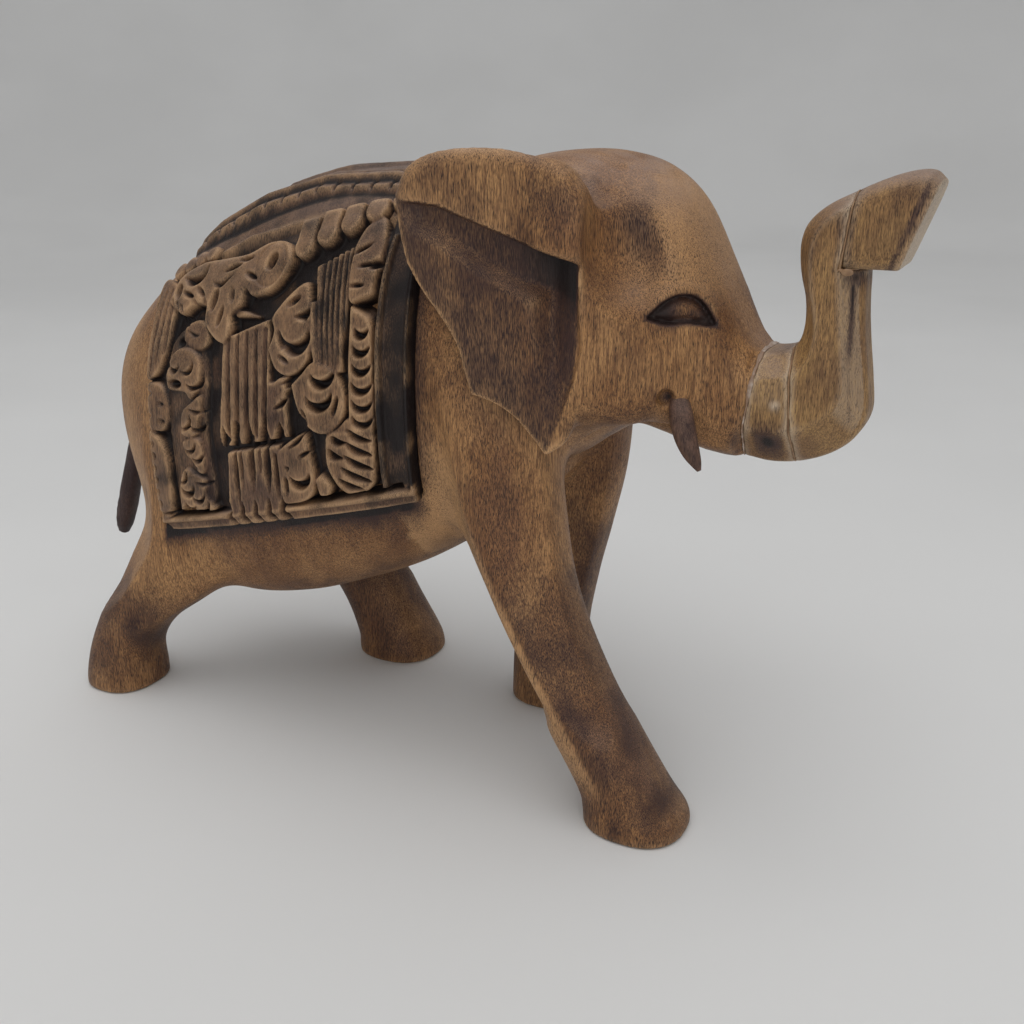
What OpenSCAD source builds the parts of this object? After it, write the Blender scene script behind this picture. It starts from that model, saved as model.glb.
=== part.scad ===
// Carved wooden elephant, striding with its trunk raised.
// Right side faces -Y, head faces +X, soles stand on z = 0.
// Lengths are millimetres.

/* [Overall] */
// Height from the soles to the top of the head
figure_h = 134; // [100:1:200]

/* [Saddlecloth] */
// How far the carved cloth stands out from the flanks
cloth_relief = 1.8; // [1:0.1:3]
// How far the border bands stand out of the cloth
band_relief = 0.9; // [0.4:0.1:2]
// How far the hem along the lower edge stands out of the cloth
hem_relief = 1.3; // [0.6:0.1:2.4]
// Width of the hem
hem_w = 3.5; // [2.5:0.5:9]
// Half width of the raised pad on the back
pad_half_w = 15; // [10:0.5:20]
// Number of rounded tabs along each side of the pad
tab_count = 7; // [4:1:10]

/* [Ears] */
// Thickness of each carved ear
ear_t = 5.5; // [4:0.5:8]
// Distance from the middle plane to an ear's outer face at its free rear edge
ear_reach = 34; // [30:0.5:38]
// Depth of the recess under an ear's folded rim
ear_fold = 1.6; // [0.5:0.1:3]
// How much lower the left ear was carved than the right one
left_ear_drop = 2.5; // [0:0.1:5]

/* [Glued joints] */
// Thickness of the glue film between two glued faces
glue_t = 0.3; // [0.2:0.05:0.6]
// How far the squeezed-out bead stands out of a joint
glue_bead = 0.35; // [0.1:0.05:0.8]
// Diameter of the hidden dowel between head and trunk
trunk_dowel_d = 6; // [4:0.5:8]
// Diameter of the hidden dowel between trunk and trunk tip
tip_dowel_d = 4; // [3:0.5:5]
// Gap around a glued dowel or tenon
fit_gap = 0.05; // [0.02:0.01:0.2]

/* [Tusks and tail] */
// Diameter of the round tenon at a tusk's root
tusk_tenon_d = 3.2; // [2:0.1:4]
// Depth of a tusk's socket in the jaw
tusk_socket = 7; // [4:0.5:10]
// Diameter of the round tenon at the tail's root
tail_tenon_d = 3; // [2:0.1:4]
// Depth of the tail's socket in the rump
tail_socket = 6; // [4:0.5:10]

/* [Hidden] */

k = figure_h / 134;
wood = [0.50, 0.36, 0.24];
dark_wood = [0.27, 0.19, 0.17];
glue_colour = [0.80, 0.77, 0.72];
ring_n = 24;

// ---------- shape helpers ----------

function signed_pow(v, e) = sign(v) * pow(abs(v), e);

// One closed ring between an edge point [ax, az] and the edge point [bx, bz] across from it.
// cy is the ring's middle in y, w its half width, p its squareness and skew moves the widest part.
function ring(s, n) =
    let (ax = s[0], az = s[1], bx = s[2], bz = s[3], cy = s[4], w = s[5], p = s[6])
    let (skew = len(s) > 7 ? s[7] : 0)
    [for (i = [0 : n - 1])
        let (t = 360 * (i + 0.5) / n)
        let (across = signed_pow(sin(t), 2 / p), side = signed_pow(cos(t), 2 / p))
        let (m = across + skew * (1 - across * across))
        k * [(ax + bx) / 2 + m * (bx - ax) / 2, cy + w * side, (az + bz) / 2 + m * (bz - az) / 2]];

// Skins a list of rings that all have n points, and closes both ends.
module skin(rings, n) {
    count = len(rings);
    walls = [for (r = [0 : count - 2], i = [0 : n - 1], half = [0, 1])
        let (j = (i + 1) % n)
        half == 0 ? [r * n + i, (r + 1) * n + j, r * n + j]
                  : [r * n + i, (r + 1) * n + i, (r + 1) * n + j]];
    first = [for (i = [0 : n - 1]) i];
    last = [for (i = [0 : n - 1]) count * n - 1 - i];
    polyhedron(points = [for (r = rings, q = r) q], faces = concat(walls, [first, last]),
        convexity = 6);
}

module loft(stations, n = ring_n) {
    skin([for (s = stations) ring(s, n)], n);
}

// A station made wider by d all round.
function grown(s, d) =
    let (run = [s[2] - s[0], s[3] - s[1]], u = run / norm(run))
    [s[0] - d * u[0], s[1] - d * u[1], s[2] + d * u[0], s[3] + d * u[1], s[4], s[5] + d, s[6]];

// A bent rod through points [x, y, z, half thickness, half width] in a near-vertical plane.
module rod(path, n) {
    last = len(path) - 1;
    skin([for (i = [0 : last])
        let (a = path[max(0, i - 1)], b = path[min(last, i + 1)], q = path[i])
        let (run = [b[0] - a[0], b[2] - a[2]], d = run / norm(run) * q[3])
        ring([q[0] + d[1], q[2] - d[0], q[0] - d[1], q[2] + d[0], q[1], q[4], 2.2], n)], n);
}

// A round bar from point a along direction d.
module bar(a, d, r, length) {
    len_xy = norm([d[0], d[1]]);
    translate(k * a)
        rotate([0, atan2(len_xy, d[2]), atan2(d[1], d[0])])
            cylinder(r = k * r, h = k * length, $fn = 96);
}

// The half space on the +normal side of a plane whose normal lies in the xz plane.
module beyond(origin, tilt, shift = 0) {
    translate(k * origin)
        rotate([0, tilt, 0])
            translate(k * [shift, -60, -60])
                cube(k * [120, 120, 120]);
}

// ---------- trunk ----------

// Stations run [outer x, outer z, inner x, inner z, middle y, half width, squareness]
// from the root inside the head, round the curve and up to the top.
trunk_stations = [
    [66, 77.4, 68, 102, 0, 11.3, 3.2],
    [70.5, 76.8, 72.5, 98.8, 0, 10.2, 3.5],
    [74, 76.5, 76.2, 97.6, 0, 9.6, 3.8],
    [79, 76, 79.6, 97.9, 0, 9.3, 4],
    [84.5, 76.8, 81.6, 98.9, 0, 9.2, 4],
    [89.8, 79, 82.8, 100.6, 0, 9.1, 4],
    [93.8, 82.4, 83.3, 103, 0, 9, 4],
    [95.8, 87, 83.3, 105.6, 0, 8.8, 4],
    [95.3, 93, 82.9, 108.5, 0, 8.5, 4],
    [94.2, 100, 82, 111.5, 0, 8.2, 4],
    [93.5, 105.5, 81.4, 114.6, 0, 8, 4],
    [93.2, 110.5, 81.3, 118, 0, 7.8, 4],
    [93.2, 114.5, 82.4, 121.2, 0, 7.6, 4],
    [94.2, 117.5, 85.6, 124.2, 0, 7.6, 4],
    [96.5, 119.5, 91, 127, 0, 7.6, 4]];

// Stations of the flared tip, [bottom x, bottom z, top x, top z, middle y, half width, squareness].
tip_stations = [
    [85, 112.4, 86, 124, 0, 7.6, 4],
    [90, 112.4, 91, 127, 0, 7.8, 4],
    [94.5, 112.4, 97, 129.5, 0, 7.9, 4],
    [97.2, 112.3, 101.6, 130.1, 0, 7.8, 4],
    [98.4, 112.3, 104, 128.4, 0, 7.4, 4]];

// Planes of the glued joints: a point on the plane and its tilt about y.
head_joint = [75, 0, 88];
head_joint_tilt = 7;
root_joint = [82.7, 0, 88];
root_joint_tilt = -4;
tip_joint = [89.8, 0, 120];
tip_joint_tilt = 6;
tip_ledge_z = 113.5;
tip_glue_end_x = 93.4;

// Tusk from its root to its point, [x, y, z, radius], for the left side.
tusk_path = [
    [62.3, 14.6, 89.5, 1.9],
    [63.6, 16.3, 86.4, 2.3],
    [65.3, 16.7, 83, 2.1],
    [67, 16.7, 79.8, 1.4],
    [68.6, 16.4, 76.8, 0.4]];

// Tail from its root to its end, [x, z, half thickness, half width].
tail_path = [
    [-81.1, 69, 2.3, 2.4],
    [-86, 65.5, 2.4, 2.6],
    [-91, 58.5, 2.4, 2.7],
    [-95, 49, 2.4, 2.7],
    [-99.2, 38, 2.5, 2.8],
    [-102.4, 29, 1.6, 1.8]];

// ---------- carved body ----------

// Stations run [bottom x, bottom z, top x, top z, middle y, half width, squareness, skew].
torso_stations = [
    [-81, 62, -81, 78, 0, 8, 2.2, 0],
    [-79.8, 56, -79.8, 86, 0, 14, 2.2, 0],
    [-76.5, 49, -76.5, 93, 0, 18.5, 2.3, 0],
    [-69.5, 39, -69.5, 99.5, 0, 23, 2.4, 0],
    [-59, 29.5, -59, 107.5, 0, 26.5, 2.5, -0.05],
    [-45, 26.5, -45, 115, 0, 28.5, 2.6, -0.1],
    [-28, 29.5, -28, 122, 0, 29.5, 2.6, -0.1],
    [-12, 35.5, -12, 126.5, 0, 29.5, 2.6, -0.1],
    [2, 42, 2, 127.5, 0, 28.5, 2.6, -0.1],
    [14, 49.5, 14, 126.5, 0, 27, 2.5, -0.1],
    [26, 58, 26, 124.5, 0, 24, 2.4, -0.1],
    [34, 66, 34, 121.5, 0, 20, 2.3, -0.1]];

head_stations = [
    [12, 82, 12, 122, 0, 16, 2.4, 0],
    [18, 76, 18, 127.5, 0, 21, 2.4, 0],
    [28, 72, 27, 131.3, 0, 23.5, 2.5, 0],
    [38, 74, 37, 132.8, 0, 24.5, 2.5, 0],
    [45, 79.5, 45.5, 132.5, 0, 24.3, 2.6, 0],
    [52, 82, 53.5, 130.2, 0, 21.4, 2.6, 0],
    [58.5, 80.3, 60.3, 124.5, 0, 18, 2.6, 0],
    [64.5, 77.5, 66.6, 113.3, 0, 14.2, 2.8, 0],
    [69.5, 76.7, 72, 102.6, 0, 11.2, 3.2, 0],
    [72, 76.7, 74.5, 98.5, 0, 9.8, 3.6, 0]];

leg_right_front = [
    [13, 106, 34, 106, -11, 8, 2.3],
    [9, 94, 38, 94, -16, 10, 2.3],
    [12, 80, 40, 80, -18, 10.5, 2.3],
    [16, 66, 41.5, 65, -19, 10.3, 2.4],
    [23.5, 50, 45, 48, -20, 10, 2.4],
    [32.5, 34, 52, 32, -20.5, 9.6, 2.4],
    [41.5, 20, 60.2, 19, -21, 9.4, 2.4],
    [48.5, 8, 67.5, 8, -21, 9.5, 2.4],
    [50, 2.5, 71.5, 2.5, -21, 10.3, 2.4],
    [50, -2, 71.5, -2, -21, 10.3, 2.4]];

leg_right_hind = [
    [-68, 82, -46, 82, -9, 9, 2.4],
    [-73, 68, -42, 68, -13, 11.5, 2.4],
    [-73, 55, -40, 51, -15, 11.8, 2.4],
    [-72.5, 44, -44, 37, -18.5, 10.3, 2.4],
    [-77, 34, -53, 28, -20.5, 9.2, 2.4],
    [-82.5, 23, -64.5, 19.5, -22.5, 8.5, 2.4],
    [-87.5, 12, -70.5, 11.5, -23.5, 8.7, 2.4],
    [-90, 3, -71.5, 3, -23.5, 9.8, 2.4],
    [-90, -2, -71.5, -2, -23.5, 9.8, 2.4]];

leg_left_front = [
    [13, 106, 34, 106, 11, 8, 2.3],
    [9, 94, 38, 94, 16, 9.5, 2.3],
    [11, 80, 41, 80, 18, 10, 2.3],
    [13, 64, 40, 64, 19, 9.8, 2.4],
    [15, 48, 36.5, 48, 19.5, 9.2, 2.4],
    [14.5, 34, 33, 34, 20, 8.8, 2.4],
    [13, 18, 30.5, 18, 20, 8.8, 2.4],
    [12.5, 3, 32, 3, 20, 9.8, 2.4],
    [12.5, -2, 32, -2, 20, 9.8, 2.4]];

leg_left_hind = [
    [-68, 80, -46, 80, 9, 9, 2.4],
    [-72, 66, -42, 66, 13, 11.5, 2.4],
    [-69, 52, -38, 50, 16, 11.5, 2.4],
    [-59, 38, -31, 36, 19.5, 10.5, 2.4],
    [-48, 26, -25.5, 25, 22, 9.2, 2.4],
    [-41, 15.5, -21, 15.5, 23, 9, 2.4],
    [-37.5, 6, -16.5, 6, 24, 10, 2.4],
    [-37, 2, -15, 2, 24, 10.4, 2.4],
    [-37, -2, -15, -2, 24, 10.4, 2.4]];

// Side outline of an ear, [x, z], drawn around its free edge.
ear_outline = [
    [47.5, 84], [47.5, 126], [43, 130], [36, 133.2], [28.5, 134], [21, 133], [15.7, 129.8],
    [14.2, 124.7], [15.7, 118.6], [20.5, 109], [24.5, 103.5], [26.5, 99], [27.3, 94.5],
    [28.2, 90.8], [32.2, 88.6], [36, 86.5], [39.5, 82.8], [42, 78.4], [44.8, 81.5]];

// Outline of the recess under an ear's folded top rim, [x, z].
fold_outline = [
    [19, 125], [26, 123.8], [35, 118.8], [45.8, 114.6], [45.8, 110.4], [37.5, 111.5],
    [28, 116.8], [21.5, 120.8]];

// Half width of the torso's outline at height z in station s.
function torso_side(s, a) =
    let (across = signed_pow(sin(a), 2 / s[6]), side = signed_pow(cos(a), 2 / s[6]))
    let (m = across + s[7] * (1 - across * across))
    [s[5] * side, (s[1] + s[3]) / 2 + m * (s[3] - s[1]) / 2];

// The saddlecloth: an arch of the torso's own section, standing out by the relief.
cloth_x = [-58, -45, -28, -12, 2, 14];
cloth_rear_z = 47.2;
cloth_front_z = 65.7;
function cloth_edge_z(x) =
    blend(cloth_rear_z, cloth_front_z, (x - cloth_x[0]) / (cloth_x[5] - cloth_x[0]));

// Ring angle at which station s reaches height z on its lower half.
function edge_angle(s, z) =
    let (m = (2 * z - s[1] - s[3]) / (s[3] - s[1]), q = s[7] == 0 ? 0.0001 : s[7])
    let (across = (1 - sqrt(1 - 4 * q * (m - q))) / (2 * q))
    -asin(pow(abs(across), s[6] / 2));

function blend(a, b, t) = a + (b - a) * t;
function station_at(x, i = 0) =
    x <= torso_stations[i + 1][0] || i == len(torso_stations) - 2
        ? blend(torso_stations[i], torso_stations[i + 1],
            (x - torso_stations[i][0]) / (torso_stations[i + 1][0] - torso_stations[i][0]))
        : station_at(x, i + 1);

// Ring of a layer that lies on the torso between ring angles a0 and a1 and stands out by out.
function layer_ring(x, out, a0, a1, steps) =
    let (s = station_at(x))
    let (grow = [s[0], s[1] - out, s[2], s[3] + out, 0, s[5] + out, s[6], s[7]])
    let (shrink = [s[0], s[1] + 3, s[2], s[3] - 3, 0, s[5] - 3, s[6], s[7]])
    [for (i = [0 : 2 * steps + 1])
        let (outer = i <= steps, step = outer ? i : 2 * steps + 1 - i)
        let (a = a0 + (a1 - a0) * step / steps, q = torso_side(outer ? grow : shrink, a))
        k * [x, q[0], q[1]]];

function low_angle(x, up = 0) = edge_angle(station_at(x), cloth_edge_z(x) + up);

module arch(xs, out, steps = 22) {
    skin([for (x = xs) layer_ring(x, out, low_angle(x), 180 - low_angle(x), steps)],
        2 * steps + 2);
}

module hem(left) {
    steps = 4;
    skin([for (x = cloth_x)
        let (low = low_angle(x, 0.5), high = low_angle(x, hem_w))
        layer_ring(x, cloth_relief + hem_relief, left ? low : 180 - high,
            left ? high : 180 - low, steps)], 2 * steps + 2);
}

module cloth() {
    arch(cloth_x, cloth_relief);
    arch([-57.5, -52.5], cloth_relief + band_relief);
    arch([8.5, 13.5], cloth_relief + band_relief);
    hem(true);
    hem(false);
}

// The row of rounded tabs that hangs from each long side of the pad.
module tabs() {
    for (i = [0 : tab_count - 1], side = [-1, 1]) {
        x = blend(-43, 7, i / (tab_count - 1));
        top = station_at(x)[3];
        translate(k * [x, side * (pad_half_w - 1.5), top - 4.2])
            rotate([side < 0 ? 90 : -90, 0, 0])
                cylinder(r = k * 3, h = k * 4.2, $fn = 20);
    }
}

// Eyes: an almond-shaped cut with a round eyeball standing in it.
eye_at = [63.2, 14.6, 104.2];
eye_turn = 31;
eye_lid_r = 7.7;
eye_floor_r = 18.2;

module eye_cut(side) {
    translate(k * side_of(eye_at, side))
        rotate([0, 0, -side * eye_turn])
            intersection() {
                translate(k * [0, 0, -3.7])
                    rotate([90, 0, 0])
                        cylinder(r = k * eye_lid_r, h = k * 2.4, center = true, $fn = 96);
                translate(k * [0, 0, 16.9])
                    rotate([90, 0, 0])
                        cylinder(r = k * eye_floor_r, h = k * 2.2, center = true, $fn = 96);
            }
}

module eyeball(side) {
    translate(k * side_of(eye_at, side))
        rotate([0, 0, -side * eye_turn])
            translate(k * [0, -side * 3, 1.2])
                sphere(r = k * 3, $fn = 96);
}

// The raised pad on the back, from its rear end to its front end.
pad_stations = [
    [-51, 104, -53, 112, 0, pad_half_w - 2.5, 4],
    [-43, 108, -45, 118, 0, pad_half_w - 1, 4],
    [-29, 114, -31, 124.6, 0, pad_half_w, 4],
    [-14, 118, -15, 128.8, 0, pad_half_w, 4],
    [2, 119, 2, 129.8, 0, pad_half_w - 1, 4],
    [12, 118, 13, 128.6, 0, pad_half_w - 2, 4]];

// A flat ear that leans outward towards its free rear edge.
module ear(side) {
    front_x = 47.5;
    front_y = 26;
    lean = atan2(ear_reach - front_y, 33.3);
    translate(k * [front_x, side * front_y, side < 0 ? 0 : -left_ear_drop])
        rotate([0, 0, side < 0 ? lean : -lean])
            translate([0, side < 0 ? k * ear_t : 0, 0])
                rotate([90, 0, 0])
                    difference() {
                        linear_extrude(height = k * ear_t)
                            polygon([for (q = ear_outline)
                                k * [(q[0] - front_x) / cos(lean), q[1]]]);
                        translate([0, 0, side < 0 ? k * (ear_t - ear_fold) : -k])
                            linear_extrude(height = k * (ear_fold + 1))
                                polygon([for (q = fold_outline)
                                    k * [(q[0] - front_x) / cos(lean), q[1]]]);
                    }
}

// Sockets and bores, shared by the piece that has them and the pin that fills them.
tusk_root = [62.3, 14.6, 89.5];
tusk_inward = [-0.25, -0.45, 0.86];
tail_root = [-81.1, 0, 69];

// A point or direction given for the left side, moved to the right side when side is -1.
function side_of(v, side) = [v[0], side * v[1], v[2]];

module tusk_hole(side) {
    root = side_of(tusk_root, side);
    translate(k * root)
        sphere(r = k * 3, $fn = 96);
    bar(root, side_of(tusk_inward, side), tusk_tenon_d / 2 + fit_gap, tusk_socket + 0.3);
}

module trunk_bore() {
    bar([62.6, 0, 87], [1, 0, 0], trunk_dowel_d / 2 + fit_gap, 27.8);
}

module tip_bore() {
    bar([84.2, 0, 119.6], [1, 0, 0], tip_dowel_d / 2 + fit_gap, 12.6);
}

// Everything cut from the one block, before its flat and round cuts.
module body_blank() {
    loft(torso_stations, 28);
    loft(head_stations, 24);
    loft(trunk_stations, 24);
    loft(leg_right_front, 20);
    loft(leg_left_front, 20);
    loft(leg_right_hind, 20);
    loft(leg_left_hind, 20);
    cloth();
    loft(pad_stations, 20);
    tabs();
    ear(-1);
    ear(1);
}

module carved_body() {
    color(wood)
        union() {
            difference() {
                // Keeps every size, and joins the overlapping lofts into one closed mesh.
                resize([0, 0, 0])
                    body_blank();
                translate(k * [-150, -60, -20])
                    cube(k * [300, 120, 20]);
                beyond(head_joint, head_joint_tilt, -glue_t / 2);
                trunk_bore();
                tusk_hole(-1);
                tusk_hole(1);
                bar(tail_root, [1, 0, 0], tail_tenon_d / 2 + fit_gap, tail_socket + 0.3);
                eye_cut(-1);
                eye_cut(1);
            }
            eyeball(-1);
            eyeball(1);
        }
}

// ---------- trunk pieces ----------

module trunk_root() {
    color(wood)
        difference() {
            intersection() {
                loft(trunk_stations, 24);
                beyond(head_joint, head_joint_tilt, glue_t / 2);
            }
            beyond(root_joint, root_joint_tilt, -glue_t / 2);
            trunk_bore();
        }
}

// The corner of space that the trunk tip's block fills: in front of a plane and above a ledge.
module tip_corner(shift) {
    intersection() {
        beyond(tip_joint, tip_joint_tilt, shift);
        translate(k * [60, -60, tip_ledge_z + shift])
            cube(k * [80, 120, 60]);
    }
}

module trunk() {
    color(wood)
        difference() {
            intersection() {
                loft(trunk_stations, 24);
                beyond(root_joint, root_joint_tilt, glue_t / 2);
            }
            tip_corner(-glue_t / 2);
            trunk_bore();
            tip_bore();
        }
}

module trunk_tip() {
    color(wood)
        difference() {
            intersection() {
                loft(tip_stations, 20);
                tip_corner(glue_t / 2);
            }
            tip_bore();
        }
}

// ---------- tusks and tail ----------

module tusk(side) {
    root = side_of(tusk_root, side);
    color(dark_wood)
        union() {
            rod([for (q = tusk_path) [q[0], side * q[1], q[2], q[3], q[3]]], 16);
            bar(root - 0.4 * side_of(tusk_inward, side), side_of(tusk_inward, side),
                tusk_tenon_d / 2, tusk_socket + 0.4);
        }
}

module tusk_right() {
    tusk(-1);
}

module tusk_left() {
    tusk(1);
}

module tail() {
    color(dark_wood)
        union() {
            rod([for (q = tail_path) [q[0], 0, q[1], q[2], q[3]]], 16);
            bar(tail_root - [0.4, 0, 0], [1, 0, 0], tail_tenon_d / 2, tail_socket + 0.4);
        }
}

// ---------- glue and dowels ----------

module glue_film(stations, origin, tilt) {
    difference() {
        intersection() {
            loft([for (s = stations) grown(s, glue_bead)], 24);
            beyond(origin, tilt, -glue_t / 2);
        }
        beyond(origin, tilt, glue_t / 2);
        trunk_bore();
    }
}

module head_glue() {
    color(glue_colour)
        glue_film(trunk_stations, head_joint, head_joint_tilt);
}

module root_glue() {
    color(glue_colour)
        glue_film(trunk_stations, root_joint, root_joint_tilt);
}

module tip_glue() {
    color(glue_colour)
        difference() {
            intersection() {
                loft([for (s = tip_stations) grown(s, glue_bead)], 20);
                tip_corner(-glue_t / 2);
                translate(k * [80, -20, 105])
                    cube(k * [tip_glue_end_x - 80, 40, 30]);
            }
            tip_corner(glue_t / 2);
            tip_bore();
        }
}

module trunk_dowel() {
    color(wood)
        bar([63, 0, 87], [1, 0, 0], trunk_dowel_d / 2, 27);
}

module tip_dowel() {
    color(wood)
        bar([84.6, 0, 119.6], [1, 0, 0], tip_dowel_d / 2, 11.8);
}

carved_body();
trunk_root();
trunk();
trunk_tip();
tusk_right();
tusk_left();
tail();
head_glue();
root_glue();
tip_glue();
trunk_dowel();
tip_dowel();
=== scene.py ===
"""Looks of the carved wooden elephant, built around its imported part.

Lengths in the shape code are millimetres in the part's own frame: +X towards the head,
the right flank faces -Y, +Z up, soles on z = 0.  Blender objects are in metres.
"""

import math

import bmesh
import bpy
import numpy as np
import openvdb as vdb
from mathutils import Euler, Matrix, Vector


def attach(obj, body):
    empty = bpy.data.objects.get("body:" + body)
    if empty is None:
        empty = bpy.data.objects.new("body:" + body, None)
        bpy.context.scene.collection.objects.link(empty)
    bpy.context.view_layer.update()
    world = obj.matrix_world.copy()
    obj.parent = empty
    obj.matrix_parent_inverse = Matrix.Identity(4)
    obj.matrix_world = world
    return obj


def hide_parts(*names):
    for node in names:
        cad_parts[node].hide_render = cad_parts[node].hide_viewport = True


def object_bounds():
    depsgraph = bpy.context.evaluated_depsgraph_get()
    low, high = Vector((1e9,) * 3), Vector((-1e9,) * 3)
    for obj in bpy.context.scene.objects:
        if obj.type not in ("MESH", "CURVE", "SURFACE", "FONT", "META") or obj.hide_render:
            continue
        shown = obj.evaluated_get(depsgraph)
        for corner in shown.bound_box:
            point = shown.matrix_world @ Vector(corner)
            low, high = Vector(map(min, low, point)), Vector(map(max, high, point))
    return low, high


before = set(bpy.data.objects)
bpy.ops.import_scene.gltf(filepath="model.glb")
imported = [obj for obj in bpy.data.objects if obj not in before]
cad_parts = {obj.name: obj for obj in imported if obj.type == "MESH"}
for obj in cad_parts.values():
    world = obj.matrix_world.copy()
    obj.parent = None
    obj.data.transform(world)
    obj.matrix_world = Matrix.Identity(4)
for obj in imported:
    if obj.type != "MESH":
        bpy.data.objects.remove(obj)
cad_low, cad_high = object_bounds()

# Metres in a millimetre.
MM = 0.001
BODY_VOXEL = 0.5
TRUNK_VOXEL = 0.34
GLUE_VOXEL = 0.16
CLOTH_STEP = 0.235
FACE_BUDGET = 190000
# How far, in millimetres, the distance fields reach from a surface.
BAND = 6.0
SIDES = {"right": -1, "left": 1}


# ---------- tables of the design ----------

# [bottom x, bottom z, top x, top z, middle y, half width, squareness, skew]
TORSO = [
    [-81, 62, -81, 78, 0, 8, 2.2, 0],
    [-79.8, 56, -79.8, 86, 0, 14, 2.2, 0],
    [-76.5, 49, -76.5, 93, 0, 18.5, 2.3, 0],
    [-69.5, 39, -69.5, 99.5, 0, 23, 2.4, 0],
    [-59, 29.5, -59, 107.5, 0, 26.5, 2.5, -0.05],
    [-45, 26.5, -45, 115, 0, 28.5, 2.6, -0.1],
    [-28, 29.5, -28, 122, 0, 29.5, 2.6, -0.1],
    [-12, 35.5, -12, 126.5, 0, 29.5, 2.6, -0.1],
    [2, 42, 2, 127.5, 0, 28.5, 2.6, -0.1],
    [14, 49.5, 14, 126.5, 0, 27, 2.5, -0.1],
    [26, 58, 26, 124.5, 0, 24, 2.4, -0.1],
    [34, 66, 34, 121.5, 0, 20, 2.3, -0.1],
]
HEAD = [
    [12, 82, 12, 122, 0, 16, 2.4, 0],
    [18, 76, 18, 127.5, 0, 21, 2.4, 0],
    [28, 72, 27, 131.3, 0, 23.5, 2.5, 0],
    [38, 72, 37, 132.8, 0, 23.5, 2.5, 0],
    [45, 76.5, 45.5, 132.5, 0, 22, 2.5, 0],
    [52, 80.5, 53.5, 130.2, 0, 20, 2.5, 0],
    [58.5, 79.5, 60.3, 124.5, 0, 17.5, 2.6, 0],
    [64.5, 77.5, 66.6, 113.3, 0, 14.2, 2.8, 0],
    [69.5, 76.7, 72, 102.6, 0, 11.2, 3.2, 0],
    [72, 76.7, 74.5, 98.5, 0, 9.8, 3.6, 0],
]
# [outer x, outer z, inner x, inner z, middle y, half width, squareness, skew]
TRUNK = [
    [66, 77.4, 68, 102, 0, 11.3, 3.2, 0],
    [70.5, 76.8, 72.5, 98.8, 0, 10.2, 3.5, 0],
    [74, 76.5, 76.2, 97.6, 0, 9.6, 3.8, 0],
    [79, 76, 79.6, 97.9, 0, 9.3, 4, 0],
    [84.5, 76.8, 81.6, 98.9, 0, 9.2, 4, 0],
    [89.8, 79, 82.8, 100.6, 0, 9.1, 4, 0],
    [93.8, 82.4, 83.3, 103, 0, 9, 4, 0],
    [95.8, 87, 83.3, 105.6, 0, 8.8, 4, 0],
    [95.3, 93, 82.9, 108.5, 0, 8.5, 4, 0],
    [94.2, 100, 82, 111.5, 0, 8.2, 4, 0],
    [93.5, 105.5, 81.4, 114.6, 0, 8, 4, 0],
    [93.2, 110.5, 81.3, 118, 0, 7.8, 4, 0],
    [93.2, 114.5, 82.4, 121.2, 0, 7.6, 4, 0],
    [94.2, 117.5, 85.6, 124.2, 0, 7.6, 4, 0],
    [96.5, 119.5, 91, 127, 0, 7.6, 4, 0],
]
# [bottom x, bottom z, top x, top z, middle y, half width, squareness, skew]
TIP = [
    [85, 112.4, 86, 124, 0, 7.6, 4, 0],
    [90, 112.4, 91, 127, 0, 7.8, 4, 0],
    [94.5, 112.4, 97, 129.5, 0, 7.9, 4, 0],
    [97.2, 112.3, 101.6, 130.1, 0, 7.8, 4, 0],
    [98.4, 112.3, 104, 128.4, 0, 7.4, 4, 0],
]
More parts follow.
